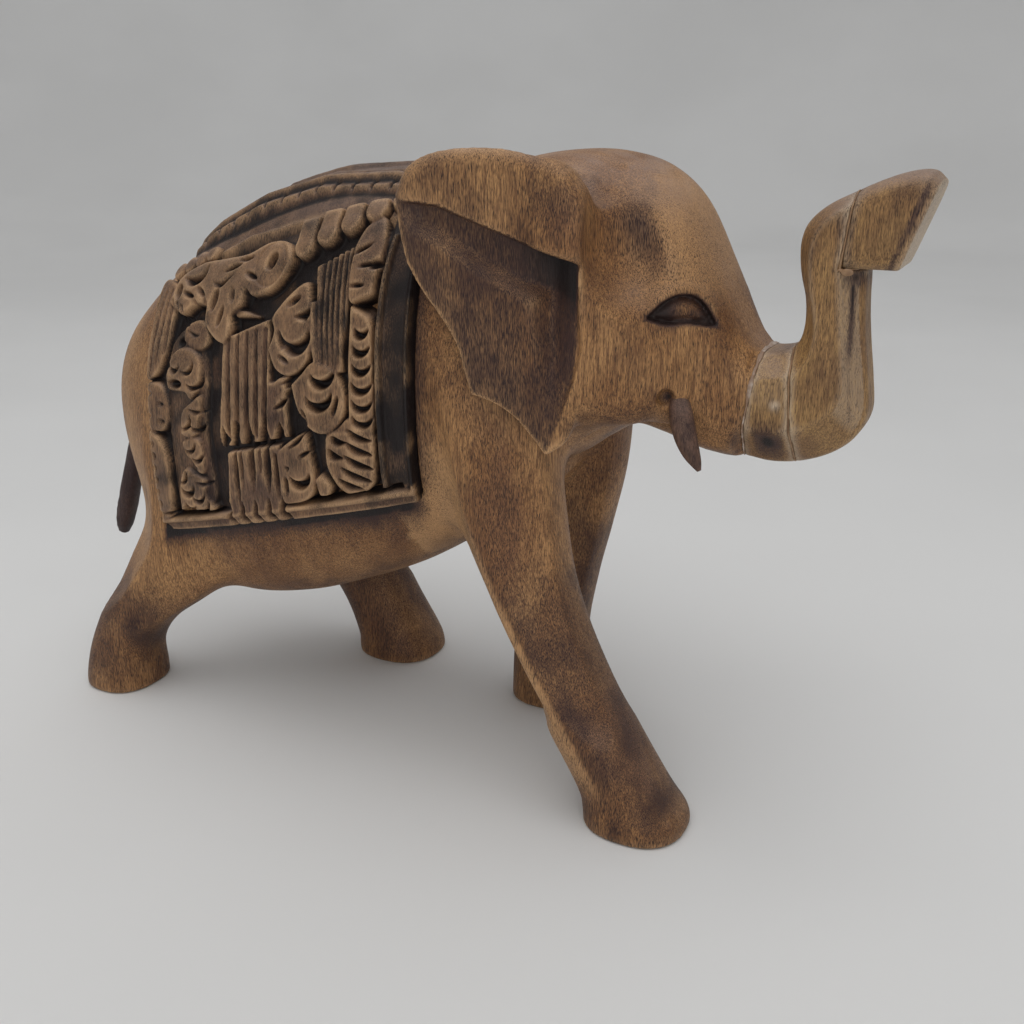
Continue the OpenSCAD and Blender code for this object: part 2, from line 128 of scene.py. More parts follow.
# [rear x, rear z, front x, front z, middle y, half width, squareness, skew]
LEGS = {
    "right_front": [
        [13, 106, 34, 106, -11, 8, 2.3, 0],
        [9, 94, 38, 94, -16, 10, 2.3, 0],
        [12, 80, 40, 80, -18, 10.5, 2.3, 0],
        [16, 66, 41.5, 65, -19, 10.3, 2.4, 0],
        [23.5, 50, 45, 48, -20, 10, 2.4, 0],
        [32.5, 34, 52, 32, -20.5, 9.6, 2.4, 0],
        [41.5, 20, 60.2, 19, -21, 9.4, 2.4, 0],
        [48.5, 8, 67.5, 8, -21, 9.5, 2.4, 0],
        [50, 2.5, 71.5, 2.5, -21, 10.3, 2.4, 0],
        [50, -2, 71.5, -2, -21, 10.3, 2.4, 0],
    ],
    "right_hind": [
        [-68, 82, -46, 82, -9, 9, 2.4, 0],
        [-73, 68, -42, 68, -13, 11.5, 2.4, 0],
        [-73, 55, -40, 51, -15, 11.8, 2.4, 0],
        [-72.5, 44, -44, 37, -18.5, 10.3, 2.4, 0],
        [-77, 34, -53, 28, -20.5, 9.2, 2.4, 0],
        [-82.5, 23, -64.5, 19.5, -22.5, 8.5, 2.4, 0],
        [-87.5, 12, -70.5, 11.5, -23.5, 8.7, 2.4, 0],
        [-90, 3, -71.5, 3, -23.5, 9.8, 2.4, 0],
        [-90, -2, -71.5, -2, -23.5, 9.8, 2.4, 0],
    ],
    "left_front": [
        [13, 106, 34, 106, 11, 8, 2.3, 0],
        [9, 94, 38, 94, 16, 9.5, 2.3, 0],
        [11, 80, 41, 80, 18, 10, 2.3, 0],
        [13, 64, 40, 64, 19, 9.8, 2.4, 0],
        [15, 48, 36.5, 48, 19.5, 9.2, 2.4, 0],
        [14.5, 34, 33, 34, 20, 8.8, 2.4, 0],
        [13, 18, 30.5, 18, 20, 8.8, 2.4, 0],
        [12.5, 3, 32, 3, 20, 9.8, 2.4, 0],
        [12.5, -2, 32, -2, 20, 9.8, 2.4, 0],
    ],
    "left_hind": [
        [-68, 80, -46, 80, 9, 9, 2.4, 0],
        [-72, 66, -42, 66, 13, 11.5, 2.4, 0],
        [-69, 52, -38, 50, 16, 11.5, 2.4, 0],
        [-59, 38, -31, 36, 19.5, 10.5, 2.4, 0],
        [-48, 26, -25.5, 25, 22, 9.2, 2.4, 0],
        [-41, 15.5, -21, 15.5, 23, 9, 2.4, 0],
        [-37.5, 6, -16.5, 6, 24, 10, 2.4, 0],
        [-37, 2, -15, 2, 24, 10.4, 2.4, 0],
        [-37, -2, -15, -2, 24, 10.4, 2.4, 0],
    ],
}

# Side outline of an ear: [x, z, 1 where the outline has a corner].
EAR_OUTLINE = [
    [47, 84, 1], [47.2, 121, 0], [46, 127.6, 0], [42.4, 131.4, 0], [36.4, 133.6, 0],
    [28.5, 134.2, 0], [21, 133.2, 0], [16.2, 130.4, 0], [14.2, 125.5, 1], [15.4, 118.6, 0],
    [16.5, 113.5, 1], [19.2, 108.6, 0], [23, 103.2, 0], [25.6, 98.4, 0], [26.8, 93.6, 0],
    [28, 89.5, 1], [32.2, 88.1, 0], [36, 85.7, 0], [39.5, 81.8, 0], [42, 78.4, 1], [45.5, 81, 0],
]
# The ear's outer face runs back and outward from this x and distance from the middle.
EAR_FRONT = (47.5, 26)
EAR_REACH = 34
EAR_LENGTH = 33.3
EAR_LEAN = math.atan2(EAR_REACH - EAR_FRONT[1], EAR_LENGTH)
LEFT_EAR_DROP = 2.5
# The crease under an ear's folded rim, [x, z].
EAR_FOLD = [
    [8, 124.6], [15, 124.5], [22, 123.8], [30, 120.6], [38, 117.4], [47.6, 114.4], [60, 110.4],
]
# The edge of the cheek in front of its hollow, [z, x].
CHEEK_EDGE = [
    [70, 38.5], [78, 41.4], [86, 44.6], [93, 47], [99, 48.2], [106, 47.7], [140, 47.8],
]

# A point of each glued joint's plane, and the plane's tilt in degrees.
HEAD_JOINT = ((75, 0, 88), 7)
ROOT_JOINT = ((82.7, 0, 88), -4)
TIP_JOINT = ((89.8, 0, 120), 6)
TIP_LEDGE_Z = 113.5
# Thickness of the glue.
GLUE = 0.3
# Bores of the dowels: z, first x, last x, radius.
ROOT_BORE = (87, 62.6, 90.4, 3.05)
TIP_BORE = (119.6, 84.2, 96.8, 2.05)

# Rear and front end of the saddlecloth, and the height of its lower edge at both.
CLOTH_X = (-58.0, 14.0)
CLOTH_EDGE_Z = (50.0, 68.5)
# How far the cloth's surface lies outside the torso, and how far up the flank its chart goes.
CLOTH_OUT = 1.8
FLANK_TOP = 61.0

# Middle of the eyes, and the angle between their plane and the X axis.
EYE_AT = (63.2, 14.6, 104.2)
EYE_TURN = math.radians(31)
# Lid line of an eye, seen from outside with the head to the right: [along, up, 1 at a corner].
EYE_LIDS = [
    [-6.5, 0.3, 1], [-3.8, 2.6, 0], [-1.8, 3.7, 0], [0.3, 4.1, 0], [2.6, 3.6, 0], [4.6, 1.9, 0],
    [6.7, -1.4, 1], [4.2, -1.2, 0], [1, -0.7, 0], [-2.4, -0.9, 0], [-4.7, -0.4, 0],
]
# Left side: x, y, z, radius.
TUSK = [
    [63.2, 12.8, 90, 1.6], [63.8, 14.6, 88, 1.95], [64.8, 15.8, 85.4, 2.15], [65.9, 16.4, 82.4, 2],
    [67.1, 16.6, 79.8, 1.6], [68.1, 16.5, 77.9, 1.05], [68.8, 16.4, 76.4, 0.4],
]
# x, z, half thickness, half width.
TAIL = [
    [-79, 70, 2.2, 2.4], [-82, 68.6, 2.3, 2.4], [-86, 65.5, 2.4, 2.6], [-91, 58.5, 2.4, 2.7],
    [-95, 49, 2.4, 2.7], [-99.2, 38, 2.5, 2.8], [-101.2, 32.5, 2.2, 2.4], [-102.2, 29.4, 1.4, 1.6],
]


# ---------- number helpers ----------

def smoothstep(low, high, v):
    """Zero up to low, one from high on, and a smooth curve between."""
    t = np.clip((v - low) / (high - low), 0, 1)
    return t * t * (3 - 2 * t)


def signed_pow(v, e):
    return np.sign(v) * np.abs(v) ** e


def spline(rows, per):
    """Catmull-Rom through rows, with per steps from each row to the next."""
    rows = np.array(rows, float)
    padded = np.vstack([2 * rows[0] - rows[1], rows, 2 * rows[-1] - rows[-2]])
    t = np.arange(per)[:, None] / per
    out = []
    for i in range(len(rows) - 1):
        a, b, c, d = padded[i:i + 4]
        out.append(0.5 * (2 * b + (c - a) * t + (2 * a - 5 * b + 4 * c - d) * t ** 2
                          + (3 * b - a - 3 * c + d) * t ** 3))
    out.append(rows[-1:])
    return np.vstack(out)


def ring(row, n, facets=()):
    """One cross-section ring of n points: a squarish oval between the row's two ends.

    Facets flatten it; each is an angle and a reach over the outline of a unit circle.
    """
    ax, az, bx, bz, cy, w, p, skew = row
    t = 2 * np.pi * (np.arange(n) + 0.5) / n
    across = signed_pow(np.sin(t), 2 / p)
    side = signed_pow(np.cos(t), 2 / p)
    for angle, reach in facets:
        a = math.radians(angle)
        nx, ny = math.cos(a), math.sin(a)
        over = np.maximum(across * nx + side * ny - reach, 0)
        across = across - over * nx
        side = side - over * ny
    m = across + skew * (1 - across ** 2)
    return np.stack([(ax + bx) / 2 + m * (bx - ax) / 2, cy + w * side,
                     (az + bz) / 2 + m * (bz - az) / 2], -1)


def skin(rings):
    """Points, quads and triangles of a closed skin over rings of equal count."""
    rings = np.array(rings)
    count, n = rings.shape[:2]
    i = np.arange(n)
    j = (i + 1) % n
    r = np.arange(count - 1)[:, None] * n
    quads = np.stack([r + i, r + j, r + n + j, r + n + i], -1).reshape(-1, 4)
    points = np.vstack([rings.reshape(-1, 3), rings[0].mean(0), rings[-1].mean(0)])
    first, last = count * n, count * n + 1
    tris = np.vstack([np.stack([np.full(n, first), j, i], -1),
                      np.stack([np.full(n, last), (count - 1) * n + i, (count - 1) * n + j], -1)])
    return points, quads, tris


def loft(rows, n=72, per=6, facets=()):
    return skin([ring(r, n, facets) for r in spline(rows, per)])


def leg_skin(rows, facets):
    """A leg whose long knife facets fade out above its round foot."""
    rings = []
    for r in spline(rows, 8):
        fade = float(smoothstep(26, 12, (r[1] + r[3]) / 2))
        rings.append(ring(r, 72, [(angle, reach + (1.3 - reach) * fade) for angle, reach in facets]))
    return skin(rings)


# ---------- distance fields ----------

def join(a, b, k):
    """Smooth union of two distances, rounded over k."""
    h = np.clip(0.5 + 0.5 * (b - a) / k, 0, 1)
    return b + (a - b) * h - k * h * (1 - h)


def meet(a, b, k):
    """Smooth intersection of two distances."""
    return -join(-a, -b, k)


class Block:
    """A box of voxels, with a distance in millimetres at each."""

    def __init__(self, low, high, voxel):
        self.voxel = voxel
        self.start = np.floor(np.array(low) / voxel).astype(int)
        self.shape = tuple(np.ceil(np.array(high) / voxel).astype(int) - self.start + 1)
        axes = [(self.start[a] + np.arange(self.shape[a])) * voxel for a in range(3)]
        self.x = axes[0][:, None, None].astype(np.float32)
        self.y = axes[1][None, :, None].astype(np.float32)
        self.z = axes[2][None, None, :].astype(np.float32)

    def inside(self, skin_parts):
        """Distance to a closed skin, negative inside."""
        points, quads, tris = skin_parts
        scale = vdb.createLinearTransform(voxelSize=self.voxel)
        grid = vdb.FloatGrid.createLevelSetFromPolygons(
            points.astype(np.float32), triangles=tris.astype(np.uint32),
            quads=quads.astype(np.uint32), transform=scale, halfWidth=BAND / self.voxel)
        out = np.full(self.shape, BAND, np.float32)
        grid.copyToArray(out, ijk=tuple(int(v) for v in self.start))
        return out

    def part(self, low, high):
        """Slices and axes of a smaller box."""
        cut = []
        for a, axis in enumerate((self.x, self.y, self.z)):
            values = axis.ravel()
            first = int(np.searchsorted(values, low[a]))
            last = int(np.searchsorted(values, high[a]))
            cut.append(slice(first, last))
        return tuple(cut), self.x[cut[0]], self.y[:, cut[1]], self.z[:, :, cut[2]]

    def mesh(self, field):
        """Points in millimetres and quads of the surface where the field is zero."""
        grid = vdb.FloatGrid(float(BAND))
        grid.copyFromArray(np.ascontiguousarray(field, np.float32),
                           ijk=tuple(int(v) for v in self.start))
        grid.transform = vdb.createLinearTransform(voxelSize=self.voxel)
        points, _, quads = grid.convertToPolygons(isovalue=0.0, adaptivity=0.0)
        return points.astype(float), quads.astype(int)

    def sample(self, field, points):
        """The field's value at each point."""
        q = points / self.voxel - self.start
        q = np.clip(q, 0, np.array(self.shape) - 1.001)
        base = q.astype(int)
        f = q - base
        out = 0
        for corner in range(8):
            step = np.array([corner & 1, corner >> 1 & 1, corner >> 2])
            weight = np.prod(np.where(step, f, 1 - f), axis=1)
            at = base + step
            out = out + weight * field[at[:, 0], at[:, 1], at[:, 2]]
        return out


def blurred(field, radius):
    """Box blur, twice, of a field clipped near its surface."""
    out = np.clip(field, -4, 4).astype(np.float32)
    for axis in (0, 1, 2, 0, 1, 2):
        pad = [(0, 0)] * 3
        pad[axis] = (radius + 1, radius)
        total = np.cumsum(np.pad(out, pad, mode="edge"), axis=axis, dtype=np.float64)
        size = out.shape[axis]
        span = 2 * radius + 1
        upper = np.take(total, range(span, span + size), axis=axis)
        lower = np.take(total, range(0, size), axis=axis)
        out = ((upper - lower) / span).astype(np.float32)
    return out


def beyond(block, joint, shift=0.0):
    """Distance below zero on the +X side of a joint's tilted plane."""
    (px, _, pz), tilt = joint
    a = math.radians(tilt)
    return -((block.x - px) * math.cos(a) - (block.z - pz) * math.sin(a) - shift)


def polygon_distance(px, pz, outline):
    """Signed distance to a closed outline, negative inside."""
    best = np.full(np.broadcast(px, pz).shape, 1e9, np.float32)
    odd = np.zeros(best.shape, bool)
    for (ax, az), (bx, bz) in zip(outline, np.roll(outline, -1, axis=0)):
        ex, ez = bx - ax, bz - az
        wx, wz = px - ax, pz - az
        t = np.clip((wx * ex + wz * ez) / (ex * ex + ez * ez), 0, 1)
        best = np.minimum(best, (wx - ex * t) ** 2 + (wz - ez * t) ** 2)
        above = (az > pz) != (bz > pz)
        odd ^= above & (px < ex * (pz - az) / (ez if ez else 1e-9) + ax)
    return np.where(odd, -1, 1) * np.sqrt(best)


def curved_outline(rows, per=5):
    """The outline's runs between its corners, each drawn as a smooth curve."""
    rows = np.array(rows, float)
    corners = [i for i, r in enumerate(rows) if r[2]]
    out = []
    for first, last in zip(corners, corners[1:] + [corners[0] + len(rows)]):
        run = rows[[i % len(rows) for i in range(first, last + 1)], :2]
        out.append(spline(run, per)[:-1] if len(run) > 2 else run[:-1])
    return np.vstack(out)


# ---------- torso and cloth chart ----------

TORSO_FINE = spline(TORSO, 12)


def torso_at(x):
    """Values of the torso's section at x: bottom z, top z, half width, squareness, skew."""
    return [np.interp(x, TORSO_FINE[:, 0], TORSO_FINE[:, c]) for c in (1, 3, 5, 6, 7)]


def torso_point(x, angle, out):
    """A point of the torso's section at x, on the +Y side, moved outward."""
    low, high, w, p, skew = torso_at(x)
    low, high, w = low - out, high + out, w + out
    across = signed_pow(np.sin(angle), 2 / p)
    side = signed_pow(np.cos(angle), 2 / p)
    m = across + skew * (1 - across ** 2)
    return np.stack([x + 0 * angle, w * side, (low + high) / 2 + m * (high - low) / 2], -1)


def cloth_edge_z(x):
    """Height of the cloth's lower edge, carried on at one slope beyond both ends."""
    return np.interp(x, CLOTH_X, CLOTH_EDGE_Z) + (x - np.clip(x, *CLOTH_X)) * 0.257


def edge_angle(x):
    """Section angle at which the torso reaches the cloth's lower edge."""
    low, high, _, p, skew = torso_at(x)
    q = np.where(np.abs(skew) < 1e-4, 1e-4, skew)
    m = (2 * cloth_edge_z(x) - low - high) / (high - low)
    across = (1 - np.sqrt(1 - 4 * q * (m - q))) / (2 * q)
    return -np.arcsin(np.abs(across) ** (p / 2))


def flank_chart(x_values, s_values):
    """Surface points and outward normals of the right flank, over x and s.

    The height s runs along the surface, and is zero at the cloth's lower edge.
    """
    start = edge_angle(x_values)[:, None]
    angle = start - 0.35 + (np.pi / 2 - start + 0.35) * np.linspace(0, 1, 500)[None, :]
    x = np.repeat(x_values[:, None], 500, 1)
    line = torso_point(x, angle, CLOTH_OUT)
    step = np.linalg.norm(np.diff(line, axis=1), axis=2)
    run = np.concatenate([np.zeros((len(x_values), 1)), np.cumsum(step, 1)], 1)
    points = np.zeros((len(x_values), len(s_values), 3))
    for i in range(len(x_values)):
        zero = np.interp(start[i, 0], angle[i], run[i])
        for c in range(3):
            points[i, :, c] = np.interp(s_values, run[i] - zero, line[i, :, c])
    points[:, :, 1] *= -1
    along = np.gradient(points, axis=0)
    up = np.gradient(points, axis=1)
    normal = np.cross(along, up)
    normal /= np.linalg.norm(normal, axis=2, keepdims=True)
    return points, normal


# ---------- relief in a flat chart ----------

def rotated(x, s, cx, cs, turn):
    a = math.radians(turn)
    dx, ds = x - cx, s - cs
    return dx * math.cos(a) + ds * math.sin(a), -dx * math.sin(a) + ds * math.cos(a)


def oval(x, s, cx, cs, rx, rs, turn=0):
    """Rough distance to an oval, negative inside."""
    u, v = rotated(x, s, cx, cs, turn)
    reach = np.sqrt((u / rx) ** 2 + (v / rs) ** 2)
    return (reach - 1) * min(rx, rs)


def stroke(x, s, points, widths, per=6):
    """Distance to a curved stroke whose half width changes along it."""
    rows = [[*p, w] for p, w in zip(points, widths)]
    fine = spline(rows, per) if len(rows) > 2 else np.array(rows, float)
    best = np.full(x.shape, 1e9)
    for (ax, az, aw), (bx, bz, bw) in zip(fine[:-1], fine[1:]):
        ex, ez = bx - ax, bz - az
        t = np.clip(((x - ax) * ex + (s - az) * ez) / (ex * ex + ez * ez + 1e-9), 0, 1)
        gap = np.hypot(x - ax - ex * t, s - az - ez * t) - (aw + (bw - aw) * t)
        best = np.minimum(best, gap)
    return best


def shape(x, s, points, smooth=True):
    """Distance to a closed shape through points."""
    rows = np.array(points, float)
    if smooth:
        rows = spline(np.vstack([rows, rows[:1]]), 4)[:-1]
    return polygon_distance(x, s, rows)


def crescent(x, s, cx, cs, r, thick, turn=0):
    """A smile-shaped cut, thickest at its lowest point and pointed at both ends."""
    u, v = rotated(x, s, cx, cs, turn)
    outer = np.hypot(u, v) - r
    inner = np.hypot(u, v - thick) - r * 1.04
    return np.maximum(outer, -inner)


class Relief:
    """A height over the chart: its ground, what is raised from it and what is cut into it."""

    def __init__(self, x, s, ground):
        self.x, self.s = x, s
        self.h = np.full(x.shape, float(ground))

    def lift(self, distance, height, edge=0.5, crown=0.0, reach=3.0):
        """Raises what lies inside to height, with a steep wall and a crowned top."""
        top = height - crown * (1 - np.clip(-distance / reach, 0, 1)) ** 2
        rise = smoothstep(edge / 2, -edge / 2, distance)
        self.h = np.where(rise > 0, np.maximum(self.h, self.h + (top - self.h) * rise), self.h)

    def level(self, distance, height, edge=0.5):
        """Brings what lies inside to one height."""
        rise = smoothstep(edge / 2, -edge / 2, distance)
        self.h = self.h + (height - self.h) * rise

    def cut(self, distance, depth, edge=0.9):
        """Cuts a groove whose sides slope in over edge."""
        self.h = self.h - depth * np.clip(-distance / edge, 0, 1)

    def leaf(self, points, height, reach=1.6, crown=0.34, edge=0.42):
        """Raises a leaf with a curved outline."""
        self.lift(shape(self.x, self.s, points), height, edge, crown, reach)

    def panel(self, points, height):
        """Raises a flat panel with a straight outline."""
        self.lift(shape(self.x, self.s, points, False), height, 0.6)

    def ridge(self, points, widths, height, reach=0.8, crown=0.3):
        self.lift(stroke(self.x, self.s, points, widths), height, 0.5, crown, reach)

    def groove(self, points, widths, depth, edge=0.6):
        self.cut(stroke(self.x, self.s, points, widths), depth, edge)

    def pit(self, cx, cs, rx, rs, turn, depth, edge=0.8):
        self.cut(oval(self.x, self.s, cx, cs, rx, rs, turn), depth, edge)

    def line(self, cx, cs, rx, rs, half_width, depth, edge=0.4):
        """Cuts a thin line round an oval."""
        self.cut(np.abs(oval(self.x, self.s, cx, cs, rx, rs)) - half_width, depth, edge)

    def scoop(self, cx, cs, radius, thick, turn, depth, edge=0.7):
        self.cut(crescent(self.x, self.s, cx, cs, radius, thick, turn), depth, edge)

    def wedge(self, points, depth, edge):
        """Cuts away a shape with straight sides."""
        self.cut(shape(self.x, self.s, points, False), depth, edge)


# ---------- the saddlecloth's ornament ----------

# Heights over the cloth's surface: the ground between leaves, most leaves' tops, and the
# sheet's hidden edge.
GROUND = -1.9
TOP = 0.9
SHEET_EDGE = -3.2


def pebble(x, s, scale, seed):
    """Smooth random numbers from -1 to 1 over a chart."""
    table = np.random.RandomState(seed).uniform(-1, 1, (64, 64))
    u, v = x / scale, s / scale
    iu, iv = np.floor(u).astype(int), np.floor(v).astype(int)
    fu, fv = smoothstep(0, 1, u - iu), smoothstep(0, 1, v - iv)
    a = table[iu % 64, iv % 64] * (1 - fu) + table[(iu + 1) % 64, iv % 64] * fu
    b = table[iu % 64, (iv + 1) % 64] * (1 - fu) + table[(iu + 1) % 64, (iv + 1) % 64] * fu
    return a * (1 - fv) + b * fv


def carve_borders(r):
    """The band down the front edge, the hem, and the notched band and folds at the rear."""
    # Smooth flat band along the front edge, between two thin ridges.
    r.level(np.maximum(np.abs(r.x - 9.6) - 3.4, r.s - 70), -0.5, 0.8)
    r.ridge([(7.2, -1), (6.6, 20), (6.8, 40), (7.8, 52)], [0.75, 0.7, 0.6, 0.6], TOP, 0.7)
    r.ridge([(12.6, -2), (12.5, 30), (12.9, 60)], [0.5, 0.45, 0.45], 0.5, 0.5, 0.2)
    # Hem: a broad step, with a thin ridge along its upper edge.
    r.level(r.s + 0.2, 0.15, 0.6)
    r.lift(np.abs(r.s + 0.25) - 0.75, 0.95, 0.5, 0.3, 0.7)
    # Rear edge: a raised band with a row of small notches, and drapery folds above it.
    band = [(-60, -1), (-60, 21), (-55.5, 21), (-52.5, 17), (-51.6, 9), (-53, 1)]
    r.leaf(band, TOP - 0.1, 1.5, 0.3, 0.6)
    for i in range(7):
        r.pit(-56.6 + 0.25 * (i % 2), 1.5 + 2.9 * i, 0.8, 1.1, 25, 1.1, 0.9)
    folds = [(-60, 33), (-60, 56), (-52, 55), (-49.5, 50), (-50.5, 43), (-53.5, 35)]
    r.leaf(folds, 0.5, 2, 0.4, 0.6)
    for i in range(4):
        top = -57.8 + 2.1 * i
        r.groove([(top - 0.6, 34 + 1.6 * i), (top, 43), (top + 1.4, 53)], [0.35, 0.65, 0.4], 1.3, 0.7)
    knot = [(-60, 22), (-60, 32), (-55, 33), (-51.5, 30.5), (-50.5, 25), (-52.5, 21.5), (-56, 21.5)]
    r.leaf(knot, 0.4, 2, 0.4, 0.6)
    for cx, cs in ((-53, 27.6), (-53, 23.7), (-57, 30.6), (-57.6, 25.6)):
        r.pit(cx, cs, 1.5, 0.75, -20, 1.3, 0.9)


def carve_fringe(r):
    """Two tiers of hanging fringe in the middle of the cloth."""
    r.panel([(-34.8, 15.5), (-33.2, 27), (-32.6, 39), (-20, 41), (-19.6, 28), (-15.2, 27),
             (-15.2, 15.6)], 0.45)
    for gx in (-30.9, -28.3, -25.7, -23.1, -20.6):
        r.groove([(gx - 0.9, 17), (gx - 0.2, 28), (gx, 39)], [0.85, 0.8, 0.6], 1.6, 0.9)
    for gx in (-18.0, -16.4):
        r.groove([(gx, 16), (gx, 26)], [0.3, 0.3], 0.6, 0.5)
    # The upper tier's lower edge is toothed.
    for tx, rise in ((-33.2, 3.6), (-29.7, 4.4), (-25.9, 4), (-21.6, 3.8), (-17.4, 2.6)):
        tooth = [(tx - 2, 13.6), (tx, 16.6 + rise), (tx + 2, 13.6)]
        r.level(shape(r.x, r.s, tooth, False), GROUND, 0.5)
    # Lower tier, whose teeth hang over the hem.
    r.panel([(-34.4, -2.6), (-33.2, 6), (-32.4, 14.4), (-17.8, 14.4), (-18.2, 4), (-18.6, -2.6)], 0.55)
    for gx, low, high, w in ((-30.2, 1, 14, 0.7), (-28.6, 6, 14, 0.6), (-25.6, 5, 15, 1.0),
                             (-23.2, 9, 15, 0.5), (-21.4, 4, 15, 1.05), (-19.0, 2, 12, 0.8)):
        middle = (gx - 0.1, (low + high) / 2)
        r.groove([(gx, low), middle, (gx, high)], [0.25, w * 1.15, w * 0.9], 1.9, 0.9)
    for tx in (-33.6, -29.8, -26.0, -22.2, -18.6):
        r.groove([(tx + 1.5, -2.9), (tx, -1), (tx + 0.2, 2.6)], [0.7, 1.0, 0.25], 2.4, 0.7)


def carve_rear_leaves(r):
    """The flower and the leaves behind the fringe, on a raised ground of their own."""
    r.leaf([(-50.8, 2), (-51.2, 20), (-50.8, 38), (-46, 43.5), (-40, 40), (-38.2, 30), (-39.2, 18),
            (-38, 5), (-41, 1.2), (-46, 1)], -0.45, 3, 0.3, 0.6)
    r.leaf([(-50.4, 33.5), (-49, 37.2), (-46, 39), (-42, 38), (-39.5, 35.2), (-39.6, 31),
            (-42.2, 27.2), (-44.2, 29), (-47, 29.8), (-49.8, 30.6)], TOP, 1.8)
    r.pit(-47.4, 31.4, 2.5, 1.15, -12, 2.2)
    r.pit(-46.6, 40.4, 1.5, 1.3, 0, 1.8)
    r.leaf([(-46.2, 20), (-45.4, 24.8), (-42.6, 26.6), (-39.6, 27.8), (-39.4, 25), (-40.6, 21.6),
            (-42, 19), (-44.4, 19)], TOP)
    r.groove([(-43, 25.2), (-41, 24.3), (-38.6, 24.2)], [0.3, 0.6, 0.3], 1.3)
    r.leaf([(-46, 18.4), (-43, 18.9), (-40.4, 17.4), (-39.8, 11), (-41.5, 10.4), (-43.6, 13),
            (-45.6, 15.8)], TOP)
    r.groove([(-44.6, 15.6), (-43.4, 12.8), (-41.6, 11.4)], [0.25, 0.5, 0.2], 1.2)
    r.leaf([(-49.2, 2), (-48.4, 8.6), (-46.2, 12), (-43, 10.4), (-40, 8.6), (-40.2, 4.8),
            (-38, 1.4), (-43, 1)], TOP)
    r.scoop(-45.7, 7.2, 2.3, 1.8, 0, 2.2, 0.6)
    r.groove([(-42.6, 8.3), (-40.6, 7.7), (-38.6, 7.9)], [0.25, 0.6, 0.3], 1.4)
    r.pit(-47.2, 2.6, 1.1, 0.9, 0, 1.6, 0.6)
    r.leaf([(-45.5, 40.5), (-45, 43.5), (-41, 44.5), (-38, 42.5), (-37.4, 38.8), (-40, 37.6),
            (-43, 38.6)], 0.2, 1.5, 0.3)
    r.groove([(-44.2, 42.6), (-42.2, 41.2), (-40, 40.8)], [0.2, 0.6, 0.2], 1.1)


def carve_top_scroll(r):
    """The long scroll under the pad, and the thin folds behind it."""
    r.leaf([(-51, 49.5), (-49.5, 55), (-43, 57), (-35, 56.5), (-28, 56), (-22, 57.2), (-17, 56),
            (-14.8, 52), (-16.8, 48.6), (-20.6, 46.2), (-24.6, 46.2), (-26.6, 48), (-27.6, 45.2),
            (-30.2, 43.4), (-30, 40.4), (-32, 37.9), (-34.6, 39), (-37.8, 42.6), (-38.6, 46.4),
            (-42, 47.6), (-46, 46)], 1.3, 1.8)
    r.groove([(-47.2, 54.4), (-44.4, 53), (-40.8, 53.4), (-39.6, 55.6)], [0.2, 1.2, 0.95, 0.3], 2.2, 0.9)
    r.groove([(-36.8, 51.4), (-34.4, 50.4), (-30.6, 52)], [0.2, 0.75, 0.2], 1.8, 0.8)
    r.pit(-20.2, 52.6, 1.5, 2.0, -25, 2.6, 0.9)
    r.line(-20.4, 52.0, 3.9, 4.4, 0.3, 0.5, 0.5)
    for cx, cs, turn in ((-41.8, 47.2, 25), (-38.6, 46.8, 10), (-30.2, 47.4, 0)):
        r.pit(cx, cs, 0.9, 2.0, turn, 1.6)
    r.ridge([(-29, 43.6), (-26.6, 43), (-23.4, 42)], [0.9, 0.7, 0.3], 0.0)
    for i in range(3):
        gx = -50 + 1.9 * i
        r.groove([(gx, 50 - i), (gx + 1.8, 46 - i), (gx + 3.2, 44.6 - i)], [0.5, 0.4, 0.2], 1.0)


def carve_tabs(r):
    """The rows of rounded tabs under the pad's edge."""
    for i in range(5):
        cx, cs = -12.4 + 4.9 * i, 54.2 + 1.5 * i
        sides = np.maximum(np.abs(r.x - cx) - 2.3, np.abs(r.s - cs - 3) - 3)
        r.lift(np.minimum(oval(r.x, r.s, cx, cs, 2.45, 2.7, 12), sides), 1.5, 0.5, 0.45, 1.8)
    for i in range(4):
        r.lift(oval(r.x, r.s, -52 + 3.6 * i, 57.8 + 0.5 * i, 2.0, 2.2), 0.9, 0.5, 0.4, 1.6)


